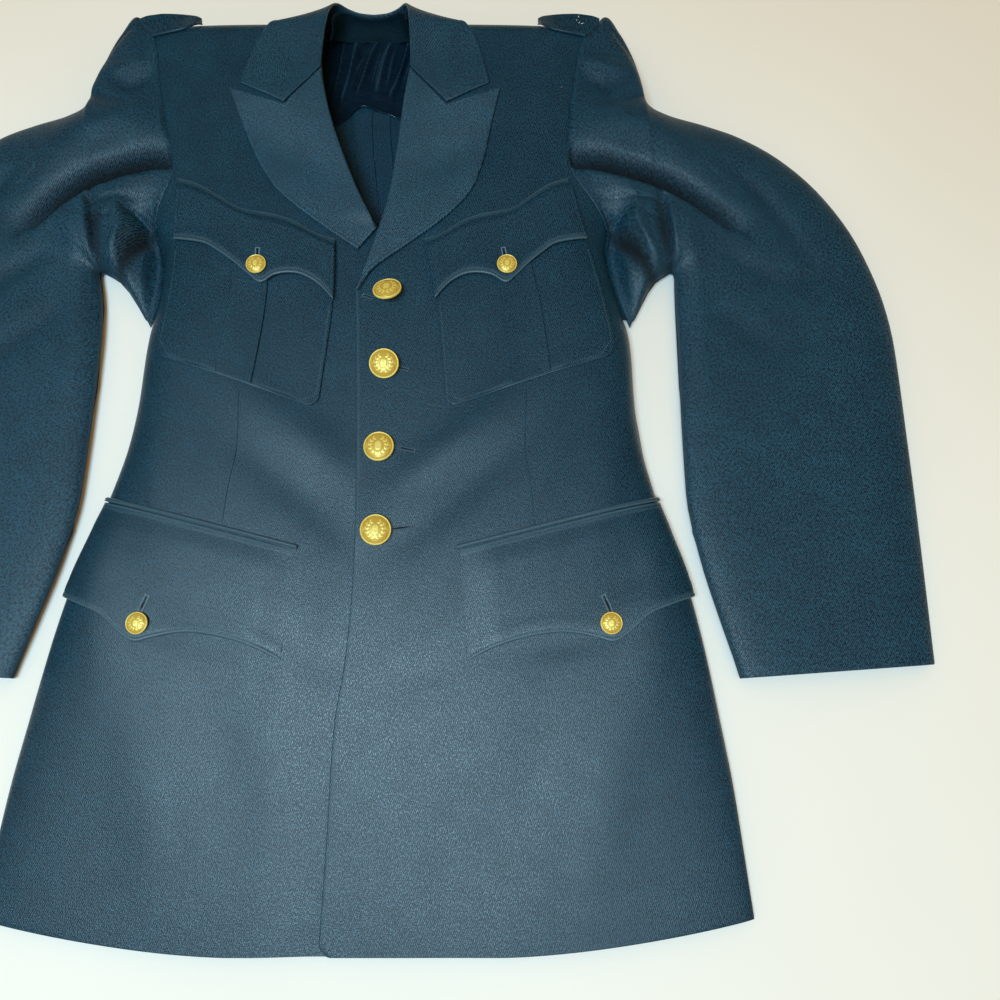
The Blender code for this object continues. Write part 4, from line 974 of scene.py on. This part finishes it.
# ---- pockets ---------------------------------------------------------------
class Patch:
    """A slanted patch on the front: `across` and `down` turn its sizes into u and v."""

    SWAY_FADE = 36.0            # depth at which the sway of its top has gone

    def __init__(self, corner, slant, width, leans, sway=((0, 0), (1, 0))):
        self.corner = corner
        self.slant = math.radians(slant)
        self.width = width
        self.leans = [math.radians(a) for a in leans]
        self.sway = sway

    def at(self, across, down):
        left, right = self.leans
        down = down + along(self.sway, across) * np.maximum(0, 1 - down / self.SWAY_FADE) ** 2
        side_lean = left + (right - left) * across / self.width
        u = self.corner[0] + across * math.cos(self.slant) + down * np.sin(side_lean)
        v = self.corner[1] + across * math.sin(self.slant) - down * np.cos(side_lean)
        return u, v


def wrap_arc(u, v):
    """Arc length of u on row v; where the side rolls away, u is measured along the cloth."""
    flat_u = along(HALF_WIDTH, v) - 14
    return arc_at(np.minimum(u, flat_u), v) + np.maximum(0.0, u - flat_u)


def usable_share(patch, down):
    """Share of a patch's width that lies on the front before the floor is reached."""
    across = patch.width - np.arange(0, 60, 1.0)
    u, v = patch.at(across, down)
    fits = wrap_arc(u, v) <= side_arc(v) - 3.0
    return across[np.argmax(fits)] / patch.width


# How far the top of the breast flap sways down, by place across it.
BREAST_SWAY = [(0, 0), (14, 1.6), (38, -1.4), (52, -0.4), (84, 6.2), (100, 2.6), (122, -1.2), (139, 0)]
BREAST = Patch((35.7, 522.7), 25.1, 138.7, (4.5, 4.5), BREAST_SWAY)
POCKET = Patch((35.7, 522.7), 25.1, 138.7, (5.0, 7.4))
LOWER = Patch((58.5, 271.0), 14.4, 214.0, (5.5, 5.5))
# Free edges: rows of (share of the width, depth below the patch's top line).
BREAST_FLAP_EDGE = [(0, 54.5), (0.09, 47.5), (0.185, 45.5), (0.27, 48.2), (0.36, 55.3), (0.455, 67),
                    (0.51, 64.5), (0.61, 58.7), (0.714, 54.1), (0.79, 51.8), (0.915, 54), (1, 56)]
LOWER_FLAP_EDGE = [(0, 80), (0.086, 75.6), (0.185, 74), (0.263, 74.8), (0.333, 77.2), (0.4, 82.2),
                   (0.454, 87.7), (0.507, 92.7), (0.574, 87.3), (0.628, 80.6), (0.707, 77.4), (0.8, 76),
                   (0.9, 76.5), (1, 80)]
POCKET_CLOTH, PLEAT_CLOTH, FLAP_CLOTH = 1.2, 1.0, 2.0
POCKET_TOP = 12.0
POCKET_FEET = (144.3, 155.8)        # depth of its foot at its inner and outer side
POCKET_ROUND = 11.0
PLEAT_WIDTH = 30.0
FLUSH_EDGE, FLUSH_TOP = 2.55, 1.1   # how far a flush flap is pressed in at its edge, and at its top
# Strength of the painted highlight, with some wear, along flap, welt and pocket edges.
FLAP_AND_WELT_HIGHLIGHT, POCKET_EDGE_HIGHLIGHT = 0.8, 0.7
WELT_HEIGHT, WELT_CLOTH = 4.2, 1.8
WELT_GAP, WELT_ROLL = 0.6, 1.2      # air between welt and flap, and height of its roll
BREAST_RIDE = LIFT + POCKET_CLOTH + LIFT + PLEAT_CLOTH + LIFT


def pocket_point(across, g):
    """Place (arc, v) of the breast pocket, g of the way down from its top."""
    foot = POCKET_FEET[0] + (POCKET_FEET[1] - POCKET_FEET[0]) * across / POCKET.width
    u, v = POCKET.at(across, POCKET_TOP + (foot - POCKET_TOP) * g)
    return wrap_arc(u, v), v


def make_breast_pocket(word, side):
    """Patch pocket with rounded lower corners."""
    depth = POCKET_FEET[0] - POCKET_TOP
    g = spaced(depth, 1.7)[:, None]
    below = np.maximum(0.0, g * depth - (depth - POCKET_ROUND))
    inset = POCKET_ROUND - np.sqrt(np.maximum(0.0, POCKET_ROUND ** 2 - below ** 2)) + 0.5
    across = inset + (POCKET.width - 2 * inset) * spaced(POCKET.width, 1.7)[None, :]
    arc, v = pocket_point(across, g)
    body_piece("breast_pocket_%s_cloth" % word, side, arc, v, POCKET_CLOTH, LIFT,
               lambda top: stitched_edge(rim_distance(top), POCKET_EDGE), WOOL,
               ["breast_pocket_" + word], POCKET_EDGE_HIGHLIGHT,
               cut=(150, 160), area=0.020, rests_on=["front_" + word])


def make_breast_pleat(word, side):
    """Box pleat down the middle of a breast pocket."""
    start = POCKET.width / 2 - PLEAT_WIDTH / 2
    across = start + PLEAT_WIDTH * spaced(PLEAT_WIDTH, 0.9)[None, :]
    g = (0.06 + 0.935 * spaced(125.0, 2.0))[:, None]
    arc, v = pocket_point(across + 0 * g, g)
    rise = LIFT + POCKET_CLOTH + LIFT
    body_piece("breast_pleat_%s_cloth" % word, side, arc, v, PLEAT_CLOTH, rise,
               lambda top: 0.35 * bell(rim_distance(top, (1,)) / 5), WOOL,
               ["breast_pleat_" + word], cut=(34, 130), area=0.0042, rests_on=["breast_pocket_" + word])


def flap_rows(patch, edge, share, depth_share):
    """Grids of (across, down) of a flap; rows stay clear of the floor at the side."""
    across, down = [], []
    for g in depth_share:
        usable = usable_share(patch, g * edge[-1][1])
        across.append(share * usable * patch.width)
        down.append(g * along(edge, share * usable))
    return np.array(across), np.array(down)


def make_flap(name, side, patch, edge, ride, cut, area, rests_on, flush=False):
    """Three-point flap sewn down along its top and lying over what is below it.

    A flush one is pressed into the front along its inner edge and top.
    """
    depth = edge[0][1]
    g = spaced(depth, 1.15)
    across, down = flap_rows(patch, edge, spaced(patch.width, 1.0), g)
    u, v = patch.at(across, down)
    rise = LIFT + (ride - LIFT) * ease(g[:, None] * depth / 11)
    if flush:
        inward = ease((across + 2) / 30)
        rise = rise - FLUSH_EDGE * (1 - inward) - FLUSH_TOP * inward * (1 - ease((down + 2) / 22))

    def edge_work(top):
        near = run_lengths(top[::-1], 0)[::-1] if flush else rim_distance(top)
        return stitched_edge(near, FLAP_EDGE) + 0.3 * bell((near - 8) / 5)

    body_piece(name + "_cloth", side, wrap_arc(u, v), v, FLAP_CLOTH, rise, edge_work, WOOL,
               [name], FLAP_AND_WELT_HIGHLIGHT, cut=cut, area=area, rests_on=rests_on)


def make_welt(word, side):
    """Narrow rolled welt above the lower pocket."""
    height = (WELT_GAP + (WELT_HEIGHT - WELT_GAP) * spaced(WELT_HEIGHT - WELT_GAP, 0.4))[:, None]
    share = spaced(LOWER.width, 1.2)
    usable = usable_share(LOWER, -WELT_HEIGHT)
    u, v = LOWER.at(share[None, :] * usable * LOWER.width, -height)
    roll = WELT_ROLL * np.sin(math.pi * (height / WELT_HEIGHT) ** 1.5) + 0 * u
    body_piece("lower_welt_%s_cloth" % word, side, wrap_arc(u, v), v, WELT_CLOTH, LIFT - WELT_ROLL,
               lambda top: roll, WOOL, ["lower_welt_" + word], FLAP_AND_WELT_HIGHLIGHT,
               cut=(215, 10.5), area=0.0009, rests_on=["front_" + word])


# ---- shoulder loops --------------------------------------------------------
LOOP_CLOTH, LOOP_FALL = 2.6, 8.0
# Rows of (u, v of the near edge, v and z of the far edge).
LOOP_ROUTE = [(148.5, 743.5, 746.5, 31.5), (152, 737, 748.2, 31.7), (158, 731, 748.8, 32.3),
              (170, 728, 749.2, 33.2), (181, 727.5, 749.4, 33.4), (190, 728.5, 749.2, 32.6),
              (197, 732, 748.3, 32.2), (203, 738, 746.8, 31.2)]


def make_shoulder_loop(word, side):
    """End of a shoulder loop: it lies on the front and stands out over the shoulder seam."""
    u = LOOP_ROUTE[0][0] + (LOOP_ROUTE[-1][0] - LOOP_ROUTE[0][0]) * spaced(54.0, 1.0)[:, None]
    near, far, far_z = np.moveaxis(along(LOOP_ROUTE, u), -1, 0)
    seat, _ = on_body(side, arc_at(u, near), near, LIFT)
    seat[..., 2] = np.maximum(seat[..., 2], far_z - LOOP_FALL)
    end = xyz(lean(far) + side * u, far, far_z)
    f = spaced(12.0, 0.9)[None, :, None]
    top = seat + (end - seat) * f + (0, 0, LOOP_CLOTH)
    normal = np.zeros_like(top) + (0, 0, 1)
    places = pair(side * u, 12 * f[..., 0])
    cloth("shoulder_loop_%s_cloth" % word, top, normal, LOOP_CLOTH, WOOL, places,
          ["shoulder_loop_" + word], (56, 24), 0.0011, ["front_" + word])


# ---- buttons ---------------------------------------------------------------
BUTTON_SIDES = 72
LARGE_BUTTON, SMALL_BUTTON = 22.9, 15.9
DOME = [(0.0, 1.0), (0.42, 0.95), (0.78, 0.74), (0.90, 0.60)]
# Rim and underside as rows of (share of the radius, share of the height).
BUTTON_RIM = [(0.905, 0.575), (0.92, 0.60), (0.94, 0.635), (0.96, 0.635), (0.98, 0.59), (0.995, 0.50),
              (1.0, 0.42), (0.995, 0.34), (0.96, 0.25), (0.90, 0.22), (0.2, 0.22), (0.2, 0.0)]
FRONT_BUTTONS = [(3.4, 474.3, -0.1, 0.42), (1.3, 414.6, 0.0, -0.25), (-0.8, 348.7, 0.0, 0.05),
                 (-1.0, 285.6, 0.05, 0.0)]
BREAST_BUTTON, LOWER_BUTTON = (64.9, 53.6), (106.6, 79.3)   # across and down its flap
RELIEF = 0.034              # height of the relief as a share of the radius
CARVED = 0.90               # share of the radius that carries relief
BUTTON_HEIGHT = 0.27        # share of the diameter
TILT_RISE = 0.42            # how much higher a button stands, as a share of diameter times tilt


def leaf(x, y, at_x, at_y, angle, length, width):
    c, s = math.cos(angle), math.sin(angle)
    lengthwise = ((x - at_x) * c + (y - at_y) * s) / length
    across = ((x - at_x) * s - (y - at_y) * c) / width
    return np.clip(1.25 - 1.25 * (lengthwise ** 2 + across ** 2), 0, 1)


def button_relief(x, y):
    """Generic device in shares of the radius: a plain shield between two leafy sprays."""
    ground = 0.30 + 0.20 * np.cos(y * 2 * math.pi / 0.075)
    shield = np.clip((1.1 - ((np.abs(x) / 0.21) ** 3 + (np.abs(y + 0.02) / 0.30) ** 3)) * 3, 0, 1)
    stripes = 0.8 + 0.2 * np.cos(x * 2 * math.pi / 0.085)
    level = np.maximum(ground, shield * stripes)
    for mirror in (-1, 1):
        for k in range(6):
            around = math.radians(-75 + 27 * k)
            for spread_out in (-0.55, 0.6):
                at_x = 0.56 * math.cos(around) * mirror
                at_y = 0.56 * math.sin(around)
                way = math.atan2(math.cos(around), -math.sin(around) * mirror) + spread_out * mirror
                at_x += 0.07 * math.cos(around) * mirror * (1 if spread_out < 0 else -1)
                at_y += 0.07 * math.sin(around) * (1 if spread_out < 0 else -1)
                level = np.maximum(level, leaf(x, y, at_x, at_y, way, 0.155, 0.062))
    return level


def make_button(name, side, u, v, rise, diameter, tilt=(0.0, 0.0)):
    """A domed button on its shank; a tilted one stands higher on a longer shank."""
    radius, height = diameter / 2, diameter * BUTTON_HEIGHT
    extra = math.hypot(*tilt) * diameter * TILT_RISE
    shank_foot = -max(0.0, extra - 0.8)
    point, normal = on_body(side, arc_at(u, v), v, rise + extra)
    normal = Vector(normal) + Vector((tilt[0], tilt[1], 0))
    turn = np.array(Vector((0, 0, 1)).rotation_difference(normal.normalized()).to_matrix())
    shares = np.linspace(0.02, CARVED, 26)
    rings = [(r, float(along(DOME, r)), True) for r in shares] + [(r, h, False) for r, h in BUTTON_RIM]
    angle = np.linspace(0, 2 * math.pi, BUTTON_SIDES, endpoint=False)
    points, tone = [], []
    for r, h, carved in rings:
        x, y = r * np.cos(angle), r * np.sin(angle)
        level = button_relief(x, y) * ease((CARVED - r) / 0.06) if carved else 0 * x + 0.9
        up = (height * h if h else shank_foot) + 0 * x
        if carved:
            up = up + (level - 0.5) * RELIEF * radius
        points.append(np.stack([x * radius, y * radius, up], -1))
        tone.append(level)
    local = np.vstack(points + [[[0, 0, height], [0, 0, shank_foot]]])
    count, crown = len(rings), len(rings) * BUTTON_SIDES
    ring_index = np.arange(crown).reshape(count, BUTTON_SIDES)
    closed = np.hstack([ring_index, ring_index[:, :1]])
    faces = [tuple(f) for f in grid_faces(closed, True)]
    for k in range(BUTTON_SIDES):
        faces.append((crown, closed[0, k], closed[0, k + 1]))
        faces.append((crown + 1, closed[-1, k + 1], closed[-1, k]))
    thing = new_object(name + "_gilt", local @ turn.T + point, faces, BRASS)
    point_values(thing, "relief", np.concatenate(tone + [[1.0, 0.5]]))
    dress(thing, [name])


def make_buttons():
    for number, (u, v, *tilt) in enumerate(FRONT_BUTTONS, 1):
        make_button("front_button_%d" % number, LEFT, u, v, LIFT, LARGE_BUTTON, tilt)
    for word, side in SIDES.items():
        u, v = BREAST.at(*BREAST_BUTTON)
        make_button("breast_button_" + word, side, u, v, BREAST_RIDE + FLAP_CLOTH + LIFT, SMALL_BUTTON)
        u, v = LOWER.at(*LOWER_BUTTON)
        make_button("lower_button_" + word, side, u, v, LIFT + FLAP_CLOTH + LIFT, SMALL_BUTTON)


# ---- stitches --------------------------------------------------------------
TICK_PITCH, TICK_WIDTH, TICK_HEIGHT = 1.8, 0.6, 0.3
TICK_INSET = 2.7            # how far inside a flap's edge its stitches lie
TICK_REST = 0.02            # height of a flap's stitches over its cloth
# Line of stitches round the foot of a breast pocket: rows of (across, down).
POCKET_FOOT = np.array([(3.0, 60.0), (3.0, 133.0), (12.0, 142.0), (126.0, 151.5), (135.5, 143.0),
                        (135.5, 62.0)])


class Stitches:
    """Many small raised stitches, joined into one mesh."""

    SHAPE = np.array([(-1, 0, 0.1), (1, 0, 0.1), (0, -1, 0), (0, 1, 0), (0, 0, 1), (0, 0, -0.6),
                      (-0.55, 0, 0.85), (0.55, 0, 0.85)])
    FACES = np.array([(0, 2, 6), (6, 2, 4), (4, 2, 7), (7, 2, 1), (1, 3, 7), (7, 3, 4), (4, 3, 6), (6, 3, 0),
                      (2, 0, 5), (1, 2, 5), (3, 1, 5), (0, 3, 5)])

    def __init__(self):
        self.points = []

    def add(self, at, onward, normal, length, width, height):
        """One stitch for each point of `at`, laid along `onward`."""
        beside = unit(np.cross(normal, onward))
        shape = self.SHAPE
        points = (at[:, None] + onward[:, None] * shape[None, :, :1] * length / 2
                  + beside[:, None] * shape[None, :, 1:2] * width / 2
                  + normal[:, None] * shape[None, :, 2:] * height)
        self.points.append(points.reshape(-1, 3))

    def build(self, name, material, slot):
        points = np.vstack(self.points)
        count = len(points) // len(self.SHAPE)
        faces = (self.FACES[None] + len(self.SHAPE) * np.arange(count)[:, None, None]).reshape(-1, 3)
        dress(new_object(name, points, faces, material))


def even_places(curve, pitch):
    """Points a pitch apart on a dense polyline, and its direction there."""
    reach = run_lengths(curve, 0)
    places = np.arange(pitch / 2, reach[-1], pitch)
    points = np.stack([np.interp(places, reach, curve[:, i]) for i in range(curve.shape[1])], -1)
    ahead = np.stack([np.interp(places + 0.5, reach, curve[:, i]) for i in range(curve.shape[1])], -1)
    behind = np.stack([np.interp(places - 0.5, reach, curve[:, i]) for i in range(curve.shape[1])], -1)
    return points, unit(ahead - behind)


def flap_outline(patch, edge):
    """Polyline (across, down) a little inside a flap's free edge, from corner to corner."""
    share = np.linspace(0, 1, 240)
    points = np.stack([share * patch.width, along(edge, share)], -1)
    onward = unit(np.gradient(points, axis=0))
    inside = np.stack([onward[:, 1], -onward[:, 0]], -1)
    curve = points + inside * TICK_INSET
    return curve[(curve[:, 0] > TICK_INSET) & (curve[:, 0] < patch.width - TICK_INSET)]


def edge_ticks(stitches, side, patch, curve, rise, length=1.9):
    """Short stitches square to an edge, on cloth that lies `rise` above the front."""
    places, onward = even_places(curve, TICK_PITCH)
    square = np.stack([-onward[:, 1], onward[:, 0]], -1) * 0.3

    def lift(spots):
        u, v = patch.at(spots[:, 0], spots[:, 1])
        arc = wrap_arc(u, v)
        fits = arc < side_arc(v) - 4
        point, normal = on_body(side, arc, v, rise + lift_at_side(arc, v))
        return point, normal, fits

    point, normal, fits = lift(places)
    ahead, _, _ = lift(places + square)
    stitches.add(point[fits], unit(ahead - point)[fits], normal[fits], length, TICK_WIDTH, TICK_HEIGHT)


def make_stitching():
    ticks = Stitches()
    breast_top = np.array([[TICK_INSET, TICK_INSET], [BREAST.width - TICK_INSET, TICK_INSET]])
    welt = np.array([[3.0, -1.2], [LOWER.width - 3, -1.2]])
    foot = np.array([np.interp(np.linspace(0, 5, 400), range(6), column) for column in POCKET_FOOT.T]).T
    for side in (LEFT, RIGHT):
        edge_ticks(ticks, side, BREAST, flap_outline(BREAST, BREAST_FLAP_EDGE),
                   BREAST_RIDE + FLAP_CLOTH + TICK_REST)
        edge_ticks(ticks, side, BREAST, breast_top, LIFT + FLAP_CLOTH + 0.3)
        edge_ticks(ticks, side, LOWER, flap_outline(LOWER, LOWER_FLAP_EDGE), LIFT + FLAP_CLOTH + TICK_REST)
        edge_ticks(ticks, side, LOWER, welt, LIFT + WELT_CLOTH - 0.35, 1.4)
        edge_ticks(ticks, side, POCKET, foot, LIFT + POCKET_CLOTH + 0.05)
    ticks.build("edge_stitching", TICKS, "wool_twill")


def make_buttonhole(thread, slit, side, start, end, rise, half_gap=0.75, eye=True):
    """Two worked edges with a slit between, closed by a bar; `start` has the bar."""
    u, v = np.linspace(start, end, 60).T
    line, normal = on_body(side, arc_at(u, v), v, rise)
    spots, onward = even_places(line, 0.62)
    up = np.broadcast_to(normal[:1], spots.shape)
    beside = unit(np.cross(up, onward))
    for way in (-1, 1):
        thread.add(spots + beside * way * (half_gap + 0.75), beside, up, 1.5, 0.62, 0.30)
    # The slit and the eye are near-black sheets: painted shade of the opening.
    slit.add(line[30:31], onward[:1], normal[30:31], np.linalg.norm(line[-1] - line[0]), 1.5, 0.12)
    bar = line[:1] + beside[:1] * np.linspace(-1.6, 1.6, 6)[:, None]
    thread.add(bar, np.repeat(onward[:1], 6, 0), np.repeat(normal[:1], 6, 0), 1.3, 0.7, 0.36)
    if eye:
        for angle in np.radians(np.arange(-120, 121, 30)):
            way = onward[:1] * math.cos(angle) + beside[:1] * math.sin(angle)
            thread.add(line[-1:] + way * 1.7, way, normal[-1:], 1.4, 0.7, 0.30)
        slit.add(line[-1:], onward[:1], normal[-1:], 2.2, 2.2, 0.12)


# Outer and inner end (u, v) of each front buttonhole, as far as its button leaves it in sight.
FRONT_HOLES = [((-17.0, 474.0), (-9, 471.5)), ((19.3, 411.0), (9, 413.5)), ((26, 346.2), (9, 350)),
               ((25, 288.8), (9, 286.6))]


def make_buttonholes():
    thread_work, faint, slit = Stitches(), Stitches(), Stitches()
    for side in (LEFT, RIGHT):
        top = LIFT + FLAP_CLOTH + 0.1
        make_buttonhole(thread_work, slit, side, (164.5, 238.5), (170.5, 224.0), top)
        u, v = BREAST.at(64.9, 38.0)
        end_u, end_v = BREAST.at(64.9, 50.0)
        make_buttonhole(thread_work, slit, side, (u, v), (end_u, end_v), BREAST_RIDE + FLAP_CLOTH + 0.1)
    for start, end in FRONT_HOLES:
        make_buttonhole(faint, slit, LEFT, start, end, 0.05, 0.25, False)
    faint.build("front_buttonholes", TICKS, "wool_twill")
    thread_work.build("buttonhole_thread", TWIST, "wool_twill")
    slit.build("buttonhole_slits", SLIT_SHADE, "wool_twill")


# ---- darts -----------------------------------------------------------------
DART = [(110.0, 394.0), (109.0, 351.0), (113.0, 318.0), (115.5, 287.0)]
DART_WIDTH, DART_HEIGHT = 1.1, 0.28
# Section of the ridge: shares of its half width, and of its height.
RIDGE_ACROSS = np.array([-1.0, -0.8, -0.4, 0.0, 0.4, 0.8, 1.0])
RIDGE_UP = np.array([-0.35, 0.45, 0.9, 1.0, 0.9, 0.45, -0.35])


def make_darts():
    """The seam of each dart, as a low rounded ridge of cloth."""
    u, v = smooth_path(DART, 80).T
    for word, side in SIDES.items():
        line, normal = on_body(side, arc_at(u, v), v)
        beside = unit(np.cross(normal, unit(np.gradient(line, axis=0))))
        top = (line[:, None] + beside[:, None] * RIDGE_ACROSS[None, :, None] * DART_WIDTH / 2
               + normal[:, None] * RIDGE_UP[None, :, None] * DART_HEIGHT)
        index = np.arange(top.shape[0] * top.shape[1]).reshape(top.shape[:2])
        places = pair(RIDGE_ACROSS * DART_WIDTH, run_lengths(line, 0)[:, None])
        dress(new_object("dart_" + word, top, grid_faces(index), WOOL, places))


# ---- loose threads and lint ------------------------------------------------
# Rows of (u, v, direction in degrees, length) of thread ends left on the shoulder seam.
THREAD_ENDS = [(168.8, 739.4, 150, 3.0), (172.3, 740.0, 25, 2.4), (181.6, 740.5, 100, 3.2),
               (183.7, 738.7, 60, 2.6), (186.3, 738.1, 10, 3.4), (183.6, 744.4, 140, 2.2)]
LINT = [(167.5, 672.7), (202.3, 262.0), (220.6, 258.7), (48.7, 526.8)]
LOOP_FROM, FLAP_TO = 736.5, 300.0       # rows above and below which they lie on a loop or a flap
OVER_LOOP, OVER_FLAP = 3.4, 2.6         # how high they lie there
ENDS_FROM_Z = 36.2                      # least height of the thread ends


def make_thread_ends():
    ends = Stitches()
    for u, v, direction, length in THREAD_ENDS:
        point, normal = on_body(LEFT, arc_at(u, v), v, OVER_LOOP if v > LOOP_FROM else 0.2)
        point[2] = max(point[2], ENDS_FROM_Z)
        angle = math.radians(direction)
        onward = np.array([math.cos(angle), math.sin(angle), 0.15])
        ends.add(point[None], unit(onward)[None], np.array([[0.0, 0.0, 1.0]]), length, 0.7, 0.3)
    for u, v in LINT:
        point, normal = on_body(LEFT, arc_at(u, v), v, OVER_FLAP if v < FLAP_TO else 0.1)
        ends.add(point[None], np.array([[0.9, 0.4, 0.0]]), normal[None], 1.3, 0.5, 0.25)
    ends.build("thread_ends", WHITE, "wool_twill")


# ---- build -----------------------------------------------------------------
def repaint_kept_nodes():
    """The solids that stay in sight get the whipcord too."""
    for name in ("back_left", "back_right", "sleeve_left_under", "sleeve_right_under"):
        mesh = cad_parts[name].data
        mesh.materials.clear()
        mesh.materials.append(WOOL_PLAN)


def build_coat():
    repaint_kept_nodes()
    for word, side in SIDES.items():
        make_front(word, side)
        make_lapel(word, side)
        make_collar(word, side)
        make_sleeve(word, side)
        make_side_strip(word, side)
        make_breast_pocket(word, side)
        make_breast_pleat(word, side)
        make_flap("breast_flap_" + word, side, BREAST, BREAST_FLAP_EDGE, BREAST_RIDE,
                  (150, 85), 0.0088, ["breast_pocket_" + word])
        make_flap("lower_flap_" + word, side, LOWER, LOWER_FLAP_EDGE, LIFT,
                  (222, 110), 0.018, ["front_" + word], flush=True)
        make_welt(word, side)
        make_shoulder_loop(word, side)
    make_collar_stand()
    make_half_lining()
    make_back_seam()
    make_buttons()
    make_stitching()
    make_buttonholes()
    make_darts()
    make_thread_ends()


# ---- studio ----------------------------------------------------------------
CAMERA_PLACE = (0.090, -0.2114, 0.5563)
CAMERA_TILT = 14.4
LENS, SENSOR = 26.46, 36.0
FLOOR_HALF = 1.6
FLOOR_DROP = 0.0002         # keeps the floor clear of the coat's lowest faces
WORLD_STRENGTH = 0.59
WORLD_GLOW = (1.0, 0.60, 0.20, 1)       # warm light from all round
BACKDROP = (1.25, 1.23, 1.17, 1)        # what the camera sees beyond the floor
KEY_PLACE, KEY_AIM, KEY_SIZE = (-0.24, -0.54, 1.6), (0.0, -0.05, 0), (1.0, 0.30)
KEY_POWER, KEY_COLOUR = 29.0, (0.49, 0.80, 1.0)


def make_camera():
    camera = bpy.data.cameras.new("camera")
    camera.lens = LENS
    camera.sensor_width = SENSOR
    camera.clip_start = 0.01
    thing = bpy.data.objects.new("camera", camera)
    thing.location = CAMERA_PLACE
    thing.rotation_euler = (math.radians(CAMERA_TILT), 0, 0)
    bpy.context.scene.collection.objects.link(thing)
    bpy.context.scene.camera = thing


def area_light(name, place, aim, size, power, colour):
    light = bpy.data.lights.new(name, "AREA")
    light.shape = "RECTANGLE"
    light.size, light.size_y = size
    light.energy = power
    light.color = colour
    thing = bpy.data.objects.new(name, light)
    thing.location = place
    thing.rotation_euler = (Vector(aim) - Vector(place)).to_track_quat("-Z", "Y").to_euler()
    bpy.context.scene.collection.objects.link(thing)


def make_studio():
    mesh = bpy.data.meshes.new("floor")
    half = FLOOR_HALF
    mesh.from_pydata([(-half, -half, 0), (half, -half, 0), (half, half, 0), (-half, half, 0)], [],
                     [(0, 1, 2, 3)])
    mesh.materials.append(paper_floor())
    floor = bpy.data.objects.new("floor", mesh)
    floor.location.z = -FLOOR_DROP
    bpy.context.scene.collection.objects.link(floor)
    world = bpy.data.worlds.new("studio")
    world.use_nodes = True
    background = world.node_tree.nodes["Background"]
    background.inputs["Strength"].default_value = WORLD_STRENGTH
    rays = world.node_tree.nodes.new("ShaderNodeLightPath")
    backdrop = world.node_tree.nodes.new("ShaderNodeMix")
    backdrop.data_type = "RGBA"
    backdrop.inputs[6].default_value = WORLD_GLOW
    backdrop.inputs[7].default_value = BACKDROP
    world.node_tree.links.new(rays.outputs["Is Camera Ray"], backdrop.inputs[0])
    world.node_tree.links.new(backdrop.outputs[2], background.inputs["Color"])
    bpy.context.scene.world = world
    world.cycles_visibility.glossy = False
    area_light("key", KEY_PLACE, KEY_AIM, KEY_SIZE, KEY_POWER, KEY_COLOUR)
    bpy.context.scene.view_settings.view_transform = "Standard"


make_camera()
make_studio()
build_coat()
